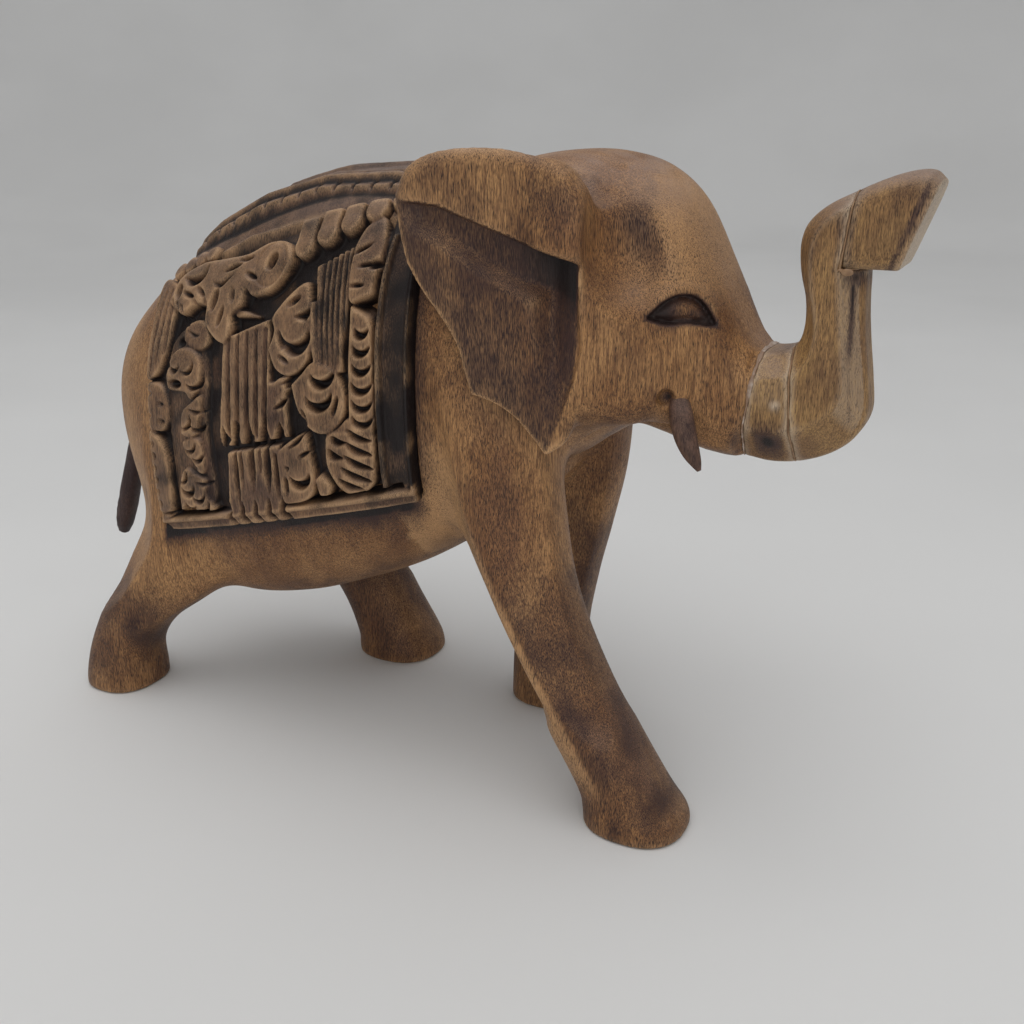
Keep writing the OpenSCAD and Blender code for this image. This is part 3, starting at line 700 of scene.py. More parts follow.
def carve_scrolls(r):
    """The two scrolls between the fringe and the ribbed band, one over the other."""
    r.leaf([(-19.7, 34.6), (-18.2, 38.2), (-18.9, 41), (-15, 44.6), (-10.6, 46.8), (-9.2, 43.5),
            (-8.9, 40), (-8.4, 35.5), (-8.8, 31.8), (-11, 29.2), (-14.6, 28.4), (-17.8, 30.4)], TOP, 1.8)
    r.scoop(-12.3, 35.6, 3.6, 3.1, 4, 2.6)
    r.wedge([(-13.6, 40.2), (-9.2, 41.2), (-8.4, 40.6), (-9.8, 38.6)], 2.4, 0.8)
    r.pit(-13.2, 43.3, 2.1, 0.95, 22, 1.8)
    r.line(-12, 36.4, 3.2, 3.0, 0.2, 0.35)
    for low, high in ((23.2, 25.8), (26.6, 28.2)):
        middle = (-16.6, (low + high) / 2 + 0.3)
        r.ridge([(-18.8, low), middle, (-14.8, high)], [0.8, 0.9, 0.25], 0.5)
    r.groove([(-18.3, 22.2), (-16.4, 22.9), (-15.2, 24.2)], [0.3, 0.75, 0.2], 2.0)
    r.leaf([(-13.8, 26.6), (-11.2, 28.4), (-8.6, 30.4), (-6, 29.6), (-3.4, 28), (-1.2, 24.4),
            (-0.8, 20), (-2.4, 16.6), (-6, 15), (-9.6, 16.6), (-12.2, 20.6)], TOP, 1.8)
    r.scoop(-6.0, 27.2, 3.0, 2.5, 0, 2.6)
    r.scoop(-6.9, 22.9, 3.3, 2.5, 0, 2.6)
    r.line(-6.7, 22.6, 5.0, 5.4, 0.2, 0.35)


def carve_ribbed_band(r):
    """A standing band with five fine ribs and a thicker rib behind them."""
    r.panel([(-6.9, 27), (-7.8, 40), (-9.0, 49.5), (-1, 52), (-0.8, 40), (-1.4, 27)], 0.25)
    for i in range(5):
        gx = -6.6 + 1.25 * i
        r.groove([(gx + 0.5, 29), (gx, 40), (gx - 0.4, 51.5)], [0.2, 0.4, 0.4], 1.1, 0.35)
    r.ridge([(-7.4, 28.5), (-8.1, 35), (-8.6, 42)], [0.5, 0.75, 0.5], TOP)


def carve_front_leaves(r):
    """A bud, and under it a long leaf with a column of scooped cuts."""
    r.leaf([(-0.6, 51.4), (1, 55.4), (4.6, 56.8), (6.2, 51), (5.2, 44), (4.6, 40.6), (0, 40.4),
            (-0.8, 45)], TOP)
    r.pit(4.9, 46.9, 1.5, 1.0, 15, 2.3, 0.7)
    r.leaf([(0, 40.2), (2.4, 38.6), (5, 36), (5.4, 30), (5.2, 13), (0.2, 12.5), (-0.2, 22), (0, 32)],
           0.7, 1.4, 0.3)
    r.wedge([(0.4, 40.5), (5.9, 41.4), (5.8, 36.4), (3.6, 38.3)], 2.6, 0.7)
    for cs, radius in ((34.4, 1.8), (31.2, 2.1), (27.6, 2.3), (24, 2.5), (20.4, 2.5), (17.1, 2.5)):
        r.scoop(2.9, cs, radius, 1.9, -12, 2.2, 0.6)


def carve_fan(r):
    """The fan in the lower front corner, with a rim and seven notches."""
    r.leaf([(-5.8, 15), (-3, 16), (-0.6, 17.6), (1.4, 15.6), (5.2, 13.6), (5.4, 8), (4.8, 3),
            (1.6, 0.9), (-1.4, 1.2), (-4.4, 4), (-6.3, 9)], 0.7, 1.5, 0.3)
    rim = [(-5.3, 14), (-3, 14.8), (4.2, 12.6), (4.2, 3.6), (1.4, 1.9), (-1.2, 2.2), (-3.8, 4.8), (-5.4, 9)]
    r.lift(np.abs(shape(r.x, r.s, rim)) - 0.5, 1.0, 0.5, 0.3, 0.5)
    for ax, az, bx, bz in ((-4.2, 14.4, -1.4, 12.6), (-5.4, 11.8, -2.2, 9.4), (-0.6, 15.2, 4.6, 12.2),
                           (-1.2, 12.6, 4.8, 9.2), (-1.8, 9.9, 4.8, 6.2), (-2.6, 7.4, 4.2, 3.6),
                           (-3.4, 5.0, 2.4, 1.9)):
        middle = ((ax + bx) / 2 - 0.5, (az + bz) / 2 - 0.5)
        r.groove([(ax, az), middle, (bx, bz)], [0.3, 0.95, 0.3], 2.1)


def carve_bottom_leaf(r):
    """The leaf between the fringe and the fan, a bud beside it, and the wedges above the hem."""
    r.leaf([(-18.7, 12.8), (-15.6, 14.6), (-11, 15.9), (-9.8, 11), (-9.2, 6), (-9.8, 3), (-12, 1),
            (-15, 0.8), (-18, 1.5), (-18.4, 7)], TOP)
    r.scoop(-12.9, 6.4, 2.7, 2.4, 0, 2.5)
    r.wedge([(-16.5, 9.8), (-15.2, 9.2), (-15.9, 8)], 1.8, 0.5)
    r.groove([(-15, 13.4), (-12.6, 14.6), (-10.6, 17)], [0.25, 0.65, 0.3], 1.9)
    r.leaf([(-9.4, 5.6), (-7.6, 6.6), (-5.2, 3.6), (-6.8, 0.9), (-8.6, 1.9)], TOP, 1.5, 0.4, 0.6)
    r.wedge([(-17, 0.4), (-8.6, 2.0), (-2, 1.6), (10.4, 1.9), (10.6, 0.7), (-4, -0.1)], 2.6, 0.5)
    r.wedge([(-57, 1.9), (-47, 2.4), (-36, 1.0), (-38, 0.3), (-50, 0.2)], 2.2, 0.5)


# Knife cuts that break up the leaves: [x, s, reach along, reach across, turn].
LEAF_CUTS = [
    [-47.6, 35.6, 1.7, 0.7, -20], [-43.2, 34.6, 1.6, 0.6, 30], [-41.4, 31.2, 1.8, 0.6, 10],
    [-44.4, 22.6, 1.6, 0.55, 40], [-41.2, 21.4, 1.4, 0.6, -10], [-43.6, 17, 1.5, 0.5, 15],
    [-47, 10, 1.3, 0.6, 50], [-42.6, 5.2, 1.7, 0.6, 0], [-45.4, 3.4, 1.4, 0.5, -20],
    [-41.2, 2.6, 1.3, 0.5, 30], [-41.6, 14.2, 1.2, 0.6, 10],
]
# The same for the top scroll and for all that lies in front of the fringe.
SCROLL_CUTS = [
    [-44.6, 50.2, 2.1, 0.6, -25], [-40.4, 50, 1.8, 0.6, -40], [-35.6, 47.4, 1.0, 2.4, -15],
    [-33.2, 43.6, 0.7, 2.2, -20], [-31.4, 53.4, 2.6, 0.5, 8], [-25.4, 50.6, 1.9, 0.6, -30],
    [-48.4, 51.6, 1.2, 1.8, 20], [-27.8, 54.6, 2.0, 0.5, 0],
    [1.6, 50.6, 2.0, 0.5, 20], [2.8, 47.2, 1.6, 0.5, 0], [1.2, 43.6, 1.8, 0.5, -10],
    [-16.2, 36, 0.6, 2.2, 15], [-15.4, 32, 1.6, 0.5, -40], [-10.8, 19.4, 0.6, 2.0, 20],
    [-3.2, 20.4, 0.6, 2.4, -20], [-16.6, 5, 0.6, 2.2, 0], [-11.2, 11.6, 1.6, 0.5, 20],
]


def carve_nicks(r):
    for cx, cs, rx, rs, turn in LEAF_CUTS:
        r.scoop(cx, cs, 0.9 * rx + 0.6, 1.6 * rs + 0.4, turn, 1.9, 0.5)
    for cx, cs, rx, rs, turn in SCROLL_CUTS:
        r.pit(cx, cs, 1.2 * rx, 1.1 * rs, turn, 1.9, 0.5)


def flank_relief(x, s):
    """Height of the carving over the flank's chart."""
    r = Relief(x, s, GROUND)
    for carve in (carve_borders, carve_rear_leaves, carve_fringe, carve_scrolls,
                  carve_ribbed_band, carve_front_leaves, carve_fan, carve_bottom_leaf,
                  carve_top_scroll, carve_tabs, carve_nicks):
        carve(r)
    h = r.h + 0.07 * pebble(x, s, 1.6, 3) + 0.1 * pebble(x, s, 5, 4)
    # The sheet dips into the torso all round its edge.
    rim = np.minimum.reduce([x - CLOTH_X[0] - 0.2, CLOTH_X[1] - 0.4 - x, s + 3.3,
                             FLANK_TOP - s + 0 * x])
    return h + (SHEET_EDGE - h) * smoothstep(0.5, -0.4, rim)


def smoothed(h, times):
    """Blurs a grid of heights, so many times over."""
    for _ in range(times):
        p = np.pad(h, 1, mode="edge")
        h = 0.5 * h + 0.125 * (p[:-2, 1:-1] + p[2:, 1:-1] + p[1:-1, :-2] + p[1:-1, 2:])
    return h


def hollowness(h, step):
    """How much lower than its surroundings each point lies, in millimetres."""
    return smoothed(h, int(6 / step)) - h


# ---------- meshes ----------

def new_piece(name, points, faces):
    """A smooth mesh object from points in millimetres."""
    mesh = bpy.data.meshes.new(name)
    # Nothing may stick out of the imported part's own bounds.
    low = np.array(cad_low) + 1e-6
    high = np.array(cad_high) - 1e-6
    places = np.clip(np.asarray(points) * MM, low, high)
    mesh.from_pydata(places.tolist(), [], [list(f) for f in faces])
    mesh.validate()
    mesh.update()
    piece = bpy.data.objects.new(name, mesh)
    bpy.context.scene.collection.objects.link(piece)
    mesh.shade_smooth()
    return piece


def values_of(items, key):
    """A mesh's points or normals as rows of three numbers."""
    values = np.zeros(len(items) * 3, np.float32)
    items.foreach_get(key, values)
    return values.reshape(-1, 3)


def point_array(mesh):
    """The mesh's points, in millimetres."""
    return values_of(mesh.vertices, "co") / MM


def normal_array(mesh):
    return values_of(mesh.vertex_normals, "vector")


def decimated(piece, budget):
    """Thins the mesh to the budget of triangles, where its surface is flattest."""
    mesh = piece.data
    mesh.calc_loop_triangles()
    count = len(mesh.loop_triangles)
    if count <= budget:
        return
    thin = piece.modifiers.new("thin", "DECIMATE")
    thin.ratio = budget / count
    shown = piece.evaluated_get(bpy.context.evaluated_depsgraph_get())
    piece.data = bpy.data.meshes.new_from_object(shown)
    piece.modifiers.clear()
    piece.data.shade_smooth()


def add_layers(piece, stain_and_shade, wear_and_highlight):
    """Stores on each point how dark it is from stain and painted shade, and how light from wear and painted
    highlights, from 0 to 1.
    """
    for key, values in (("stain_and_shade", stain_and_shade), ("wear_and_highlight", wear_and_highlight)):
        layer = piece.data.attributes.new(key, "FLOAT", "POINT")
        layer.data.foreach_set("value", np.clip(values, 0, 1).astype(np.float32))


def finished(piece, material, slot, *nodes):
    """Gives the piece its material, and makes it stand in for nodes of the part."""
    piece.data.materials.clear()
    piece.data.materials.append(material)
    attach(piece, "root")
    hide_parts(*nodes)


# ---------- the carved block ----------

# Angle and reach of the flat knife cuts down the legs and the trunk.
LEG_FACETS = [(-60, 0.86), (-142, 0.84), (62, 0.9), (140, 0.9)]
TRUNK_FACETS = [(-135, 0.95), (135, 0.95), (45, 1.1), (-45, 1.1)]


def mirrored_facets(facets):
    return [(-angle, reach) for angle, reach in facets]


def ear_frame(block, side):
    """Axes of one ear's block: its slices, the outline's x and z, and height over its outer face."""
    y_range = (-40, -13) if side < 0 else (13, 40)
    cut, x, y, z = block.part((6, y_range[0], 70), (66, y_range[1], 136))
    out = side * y
    lean_cos, lean_sin = math.cos(EAR_LEAN), math.sin(EAR_LEAN)
    t = (x - EAR_FRONT[0]) * lean_cos - (out - EAR_FRONT[1]) * lean_sin
    height = (x - EAR_FRONT[0]) * lean_sin + (out - EAR_FRONT[1]) * lean_cos
    px = EAR_FRONT[0] + t * lean_cos
    pz = z + (LEFT_EAR_DROP if side > 0 else 0)
    return cut, x, out, px + 0 * z, pz + 0 * px, height + 0 * z


def add_cheek(body, block, side):
    """The flat cheek in front of an ear's hollow."""
    cut, x, out, _, pz, _ = ear_frame(block, side)
    plane = (out - 26.4 + 0.56 * (x - 46.4)) * 0.87
    brow = (pz - 122 + 1.4 * np.maximum(x - 46, 0)) * 0.58
    box = meet(meet(meet(84 - pz, brow, 6), x - 63, 9), 40 - x, 3)
    box = meet(box, 16.5 - out, 3)
    cheek = meet(plane + 0 * pz, box, 8)
    body[cut] = join(body[cut], cheek, 6.5)


def add_ear(body, block, side, outline):
    """The ear's plate, thinnest at its free edge."""
    cut, x, _, px, pz, height = ear_frame(block, side)
    edge = polygon_distance(px, pz, outline)
    crown = smoothstep(117, 131, pz)
    thick = 2.4 + 3.4 * smoothstep(0, 11, -edge)
    plate = meet(edge, height, 0.8 + 3 * crown)
    plate = meet(plate, -height - thick, 1.0)
    blend = 1.2 + 6 * smoothstep(34, 46, x) * smoothstep(106, 120, pz)
    body[cut] = join(body[cut], plate, blend)


def ear_folds(px, pz):
    """How far each place lies below the ear's fold, and behind the edge of the cheek."""
    fold, cheek = np.array(EAR_FOLD), np.array(CHEEK_EDGE)
    below = np.interp(px, fold[:, 0], fold[:, 1]) - pz
    behind = np.interp(pz, cheek[:, 0], cheek[:, 1]) - px
    return below, behind


def hollow_parts(x, below, behind, pz):
    """How far each place lies inside the dish along the fold and the one along the cheek."""
    width = np.interp(x, [12, 20, 30, 40, 47], [2.6, 5, 7.6, 8.8, 9.4])
    under = smoothstep(width + 2.2, width - 2.6, below)
    beside = smoothstep(9.6, 4.4, behind + 3.5 * smoothstep(104, 84, pz)) * smoothstep(82, 96, pz)
    return under, beside


def hollow_depth(x, below, behind, pz):
    """Depth of an ear's hollow, deepest in its upper front corner."""
    under, beside = hollow_parts(x, below, behind, pz)
    under = 3.3 * under * (0.5 + 0.5 * np.exp(-np.maximum(behind, 0) / 18))
    beside = 2.9 * beside * (0.35 + 0.65 * smoothstep(84, 106, pz))
    return np.maximum(under, beside) + 0.35 * np.minimum(under, beside)


def carve_ear(body, block, side, outline):
    """The hollow under the folded rim, deepest in its upper front corner."""
    cut, _, _, px, pz, height = ear_frame(block, side)
    below, behind = ear_folds(px, pz)
    edge = polygon_distance(px, pz, outline)
    depth = hollow_depth(px, below, behind, pz)
    depth = depth * (0.3 + 0.7 * smoothstep(0, 5, -edge))
    footprint = join(join(below * 0.92, behind, 0.7), 1.5 - edge, 0.7)
    body[cut] = meet(body[cut], join(footprint, height + depth, 0.6), 0.7)


def eye_frame(block, side):
    """Slices of one eye's block, and how far along and above the eye each place lies."""
    y_range = (-26, -6) if side < 0 else (6, 26)
    cut, x, y, z = block.part((50, y_range[0], 92), (76, y_range[1], 124))
    dx, dy = x - EYE_AT[0], side * y - EYE_AT[1]
    along = dx * math.cos(EYE_TURN) - dy * math.sin(EYE_TURN)
    return cut, along, z - EYE_AT[2]


def carve_eye(body, block, side):
    """An almond lid line cut round a bulging eyeball, with a slight brow over it."""
    cut, a, b = eye_frame(block, side)
    almond = polygon_distance(a, b, curved_outline(EYE_LIDS))
    inside = smoothstep(0.25, -0.35, almond)
    depth = (0.35 + 1.9 * np.exp(np.minimum(almond, 0) / 0.85)) * inside
    brow = 0.45 * np.exp(-((almond - 1.2) / 1.0) ** 2) * smoothstep(0, 2, b)
    body[cut] = body[cut] + depth - brow


def carve_hollows(body, block):
    """Temples and the pits of the tusks."""
    for side in (-1, 1):
        y_range = (-30, -6) if side < 0 else (6, 30)
        cut, x, y, z = block.part((48, y_range[0], 80), (72, y_range[1], 128))
        out = side * y
        temple = np.sqrt((x - 57.5) ** 2 + (out - 23.6) ** 2 + ((z - 117) * 0.8) ** 2) - 8.4
        body[cut] = meet(body[cut], -temple, 3)
        pit = np.sqrt((x - 61.7) ** 2 + (out - 16.8) ** 2 + (z - 89.6) ** 2) - 1.7
        body[cut] = np.maximum(body[cut], -pit)


def bore(block, z, first, last, radius):
    """A round bore along X in the middle plane."""
    round_part = np.hypot(block.y, block.z - z) - radius
    return np.maximum(round_part, np.abs(block.x - (first + last) / 2) - (last - first) / 2)


def body_field(block):
    """Distance to the whole carved block, negative inside."""
    body = block.inside(loft(TORSO, 96, 8))
    # The wood under the saddlecloth lies deeper than the cloth's own mesh.
    under = smoothstep(-57.6, -56.8, block.x) * smoothstep(13.4, 12.6, block.x)
    floor_z = cloth_edge_z(block.x) - 2.6
    body = body + (2.2 * under * smoothstep(0, 0.8, block.z - floor_z)).astype(np.float32)
    body = join(body, block.inside(loft(HEAD, 96, 8)), 6)
    for name, rows in LEGS.items():
        facets = LEG_FACETS if name.startswith("right") else mirrored_facets(LEG_FACETS)
        body = join(body, block.inside(leg_skin(rows, facets)), 5)
    body = join(body, block.inside(loft(TRUNK, 96, 8, TRUNK_FACETS)), 2.0)
    outline = curved_outline(EAR_OUTLINE)
    for side in (-1, 1):
        add_cheek(body, block, side)
        add_ear(body, block, side, outline)
        carve_ear(body, block, side, outline)
        carve_eye(body, block, side)
    carve_hollows(body, block)
    body = meet(body, -block.z, 0.8)
    # The head ends at its joint, half the glue short of the joint's plane.
    body = np.maximum(body, np.minimum(-beyond(block, HEAD_JOINT, -GLUE / 2), block.z - 50))
    return np.maximum(body, -bore(block, *ROOT_BORE)).astype(np.float32)


class Paint:
    """How dark each point of a mesh is from stain and painted shade, how light from wear and painted
    highlights, and where the points are.
    """

    def __init__(self, points, normal, stain_and_shade, wear_and_highlight):
        self.x, self.y, self.z = points.T
        self.out = np.abs(self.y)
        self.normal = normal
        self.stain_and_shade, self.wear_and_highlight = stain_and_shade, wear_and_highlight

    def spot(self, x, z, rx, rz):
        """One near the place (x, z) on both sides, fading to zero over the radii."""
        return np.exp(-((self.x - x) / rx) ** 2 - ((self.z - z) / rz) ** 2)

    # Darkens a point: real stain, and in some places painted shade.
    def darken(self, amount):
        self.stain_and_shade = np.maximum(self.stain_and_shade, amount)

    # Lightens a point: real wear, and in some places a painted highlight.
    def brighten(self, amount):
        self.wear_and_highlight = np.maximum(self.wear_and_highlight, amount)


def paint_ears(m):
    """The stained hollows of the ears, and their free edge, which is rubbed bright."""
    x, out, z = m.x, m.out, m.z
    pz = z + np.where(m.y > 0, LEFT_EAR_DROP, 0)
    below, behind = ear_folds(x, pz)
    plane = (x - EAR_FRONT[0]) * math.sin(EAR_LEAN) + (out - EAR_FRONT[1]) * math.cos(EAR_LEAN)
    edge = polygon_distance(x, pz, curved_outline(EAR_OUTLINE))
    on_ear = smoothstep(-6.5, -5.5, plane) * (below > -0.3) * (behind > -0.3) * (out > 20)
    on_ear = on_ear * smoothstep(0.5, -0.3, edge)
    under, beside = hollow_parts(x, below, behind, pz)
    under = under * (0.84 + 0.1 * np.exp(-np.maximum(behind, 0) / 10))
    beside = beside * (0.72 + 0.16 * smoothstep(84, 104, pz))
    corner = np.exp(-(np.maximum(below, 0) / 8) ** 2 - (np.maximum(behind, 0) / 9) ** 2)
    dish = 0.7 + 0.2 * smoothstep(24, 12, x) * smoothstep(100, 116, z)
    m.darken(on_ear * np.clip(np.maximum(np.maximum(under, beside), dish) + 0.12 * corner, 0, 1))
    m.darken(0.4 * (out > 18) * smoothstep(49, 42, x) * smoothstep(112, 118, z) * (x > 12))
    bright = np.exp(-(edge / 0.45) ** 2) * smoothstep(46, 43, x)
    bright = bright * (z < 126) * (plane > -1.5) * (out > 20)
    m.stain_and_shade = m.stain_and_shade * (1 - 0.8 * bright)
    m.brighten(0.9 * bright)


def paint_head_and_legs(m):
    """A worn brow, lighter on faces turned forward and up as painted light, a worn rump, and a painted
    highlight down the leading leg; stained temples, jaw, tusk pits, feet and legs.
    """
    x, out, z = m.x, m.out, m.z
    right = m.y < 0
    # Painted light: the brow's wear is drawn only on faces turned forward and up, towards the lamps.
    lit = smoothstep(0.0, 0.5, m.normal[:, 0] + 0.5 * m.normal[:, 2])
    brow = smoothstep(50, 60, x) * smoothstep(104, 112, z) * lit
    rump = smoothstep(-62, -72, x) * smoothstep(34, 46, z) * smoothstep(104, 92, z)
    m.brighten(np.maximum(0.5 * brow, 0.45 * rump))
    along_temple = (x - 54.8) * 0.5 - (z - 120) * 0.86
    across_temple = (x - 54.8) * 0.86 + (z - 120) * 0.5
    temple = np.exp(-(along_temple / 7.6) ** 2 - (across_temple / 4.2) ** 2)
    m.darken(0.84 * temple * ((z > 100) & (out > 8)))
    for spot, amount, where in (((43, 124, 7, 6), 0.6, out > 12),
                                ((54, 84, 16, 5), 0.55, z < 93),
                                ((73, 82, 3, 6), 0.45, True),
                                ((61.7, 89.6, 1.6, 1.7), 1, out > 10),
                                ((67, 7, 4, 6), 0.8, right),
                                ((-70, 18, 6, 9), 0.8, (m.normal[:, 0] > -0.1) & right)):
        m.darken(amount * m.spot(*spot) * where)
    leg = np.maximum(smoothstep(68, 42, z) * smoothstep(18, 27, x), smoothstep(38, 22, z))
    m.darken((0.58 - 0.12 * smoothstep(22, 8, z)) * leg)
    # A painted highlight down the bevel by the rear edge of the leading leg.
    rear_x = np.interp(z, [3, 8, 20, 34, 50, 66, 80], [50, 48.5, 41.5, 32.5, 23.5, 16, 12])
    bevel_highlight = smoothstep(9.4, 7.6, x - rear_x) * smoothstep(6, 14, z) * smoothstep(84, 70, z)
    bevel_highlight = bevel_highlight * (m.y < -13) * (x > 8)
    m.stain_and_shade = m.stain_and_shade * (1 - 0.85 * bevel_highlight)
    m.brighten(0.62 * bevel_highlight)
    m.darken(0.32 * m.spot(26, 98, 16, 24) * (out > 14))
    m.darken(0.32 * m.spot(20, 60, 9, 15) * (out > 10))


def paint_shade(m):
    """Painted shade under and in front of the saddlecloth, and on faces that look inward or down."""
    x, out, z = m.x, m.out, m.z
    gap = cloth_edge_z(x) - 2.8 - z
    fade = smoothstep(-60, 14, x).clip(0.5)
    under = np.exp(-np.maximum(gap - 2.6, 0) / fade / 5) * (gap > -1.5) * (x > -57)
    m.darken(under * smoothstep(17, 10, x) * (out > 15))
    ahead = np.exp(-np.maximum(x - 14, 0) / 3.2) * (x > 12) * smoothstep(58, 74, z)
    m.darken(0.8 * ahead * (x < 26))
    outward = np.where(m.y < 0, -1, 1) * m.normal[:, 1]
    inner = smoothstep(0.1, -0.6, outward) * smoothstep(74, 60, z) * (out > 4)
    m.darken(0.42 * inner)
    m.darken(0.45 * smoothstep(-0.35, -0.9, m.normal[:, 2]) * (z > 3))


def paint_eyes(m):
    """Dark all round each eye's lid line, lighter and redder on the ball's middle as a painted highlight,
    and nothing worn.
    """
    lids = curved_outline(EYE_LIDS)
    for side in (-1, 1):
        dx, dy = m.x - EYE_AT[0], side * m.y - EYE_AT[1]
        near = (np.abs(dx) < 12) & (dy > -8) & (np.abs(m.z - EYE_AT[2]) < 10)
        a = (dx * math.cos(EYE_TURN) - dy * math.sin(EYE_TURN))[near]
        b = m.z[near] - EYE_AT[2]
        almond = polygon_distance(a, b, lids)
        # A painted highlight lightens the middle of the ball.
        ball_highlight = np.exp(-((a - 1) / 2.0) ** 2 - ((b - 1.6) / 1.5) ** 2) * smoothstep(0, -0.8, almond)
        lid = np.where(almond < 0.25, 0.95 - 0.5 * ball_highlight, np.exp(-(almond - 0.25) / 0.6) * 0.9)
        m.stain_and_shade[near] = np.maximum(m.stain_and_shade[near], lid * (almond < 4))
        m.wear_and_highlight[near] = np.where(almond < 0.4, 0, m.wear_and_highlight[near])


def paint_body(points, normal, hollow):
    """How dark each point of the block is from stain and painted shade, and how light from wear and painted
    highlights.
    """
    stain_and_shade = smoothstep(0.12, 0.95, hollow) * 0.75
    m = Paint(points, normal, stain_and_shade, smoothstep(0.15, 0.8, -hollow) * 0.9)
    paint_ears(m)
    paint_head_and_legs(m)
    paint_shade(m)
    paint_eyes(m)
    return m.stain_and_shade, m.wear_and_highlight


def painted(block, field, radius, paint, piece):
    """Adds the stain and painted shade, and the wear and painted highlights, that paint gives for the
    piece's points.
    """
    points = point_array(piece.data)
    hollow = -block.sample(blurred(field, radius), points)
    add_layers(piece, *paint(points, normal_array(piece.data), hollow))


def make_body(material):
    """The carved block; the saddlecloth's relief and the pad are meshes of their own."""
    block = Block((-92, -37, -2), (78.5, 37, 136.5), BODY_VOXEL)
    field = body_field(block)
    piece = new_piece("carved_block", *block.mesh(field))
    decimated(piece, FACE_BUDGET)
    painted(block, field, max(1, round(1.5 / BODY_VOXEL)), paint_body, piece)
    finished(piece, material, "carved_wood", "carved_body")


# ---------- saddlecloth and pad ----------

def closed_sheet(top):
    """Points and faces of a grid of points, closed behind by straight strips and two caps."""
    nx, ns = top.shape[:2]
    index = np.arange(nx * ns).reshape(nx, ns)
    grid = np.stack([index[:-1, :-1], index[1:, :-1], index[1:, 1:], index[:-1, 1:]], -1)
    back = [[index[i, 0], index[i, -1], index[i + 1, -1], index[i + 1, 0]] for i in range(nx - 1)]
    caps = [list(index[0, :]), list(index[-1, ::-1])]
    return top.reshape(-1, 3), grid.reshape(-1, 4).tolist() + back + caps


def make_flank(name, side, material):
    """The carved cloth over one flank; side is -1 for the right one."""
    x_values = np.arange(CLOTH_X[0] - 0.4, CLOTH_X[1] + 0.4, CLOTH_STEP)
    s_values = np.arange(-3.9, FLANK_TOP + 0.6, CLOTH_STEP)
    base, normal = flank_chart(x_values, s_values)
    x, s = np.meshgrid(x_values, s_values, indexing="ij")
    h = smoothed(flank_relief(x, s), 1)
    points = base + normal * h[:, :, None]
    hollow = hollowness(h, CLOTH_STEP)
    deep = smoothstep(0.2, -1.7, h)
    stain_and_shade = 0.62 * deep + smoothstep(0.05, 0.8, hollow) * 0.8 + 0.25
    # The front band and the ribbed band are darker than the rest, and the fringe is lighter.
    front_band = smoothstep(4.0, 3.2, np.abs(x - 9.8)) * smoothstep(0.5, 2.0, s)
    ribbed_band = smoothstep(4.0, 3.0, np.abs(x + 4.4)) * smoothstep(28, 31, s)
    ribbed_band = ribbed_band * smoothstep(52, 49, s)
    fringe = smoothstep(8.6, 7.2, np.abs(x + 26)) * smoothstep(40, 36, s) * (h > -0.9)
    stain_and_shade = np.maximum(stain_and_shade, 0.86 * front_band) + 0.35 * ribbed_band - 0.16 * fringe
    stain_and_shade = np.clip(stain_and_shade + 0.3 * pebble(x, s, 3.4, 21), 0, 1)
    wear_and_highlight = np.clip(smoothstep(0.0, 0.55, -hollow) * 1.0 + smoothstep(0.3, 1.2, h) * 0.25, 0, 1)
    wear_and_highlight = wear_and_highlight * (0.75 + 0.25 * pebble(x, s, 2.2, 22))
    points, faces = closed_sheet(points)
    if side > 0:
        points = points * [1, -1, 1]
        faces = [f[::-1] for f in faces]
    piece = new_piece(name, points, faces)
    add_layers(piece, stain_and_shade.ravel(), wear_and_highlight.ravel())
    finished(piece, material, "carved_wood", "carved_body")


def pad_surface(x, y):
    """Height of the torso's top under the pad."""
    low, high, w, p, skew = torso_at(x)
    across = np.maximum(1 - (np.abs(y) / w) ** p, 0) ** (1 / p)
    m = across + skew * (1 - across ** 2)
    return (low + high) / 2 + m * (high - low) / 2


def pad_top(x):
    """Height of the pad's top along the middle plane."""
    xs = [-55, -52, -45, -31, -15, 2, 13, 16]
    zs = [110.4, 113.4, 118, 124.4, 128.5, 129.5, 128.4, 127.6]
    return np.interp(x, xs, zs)


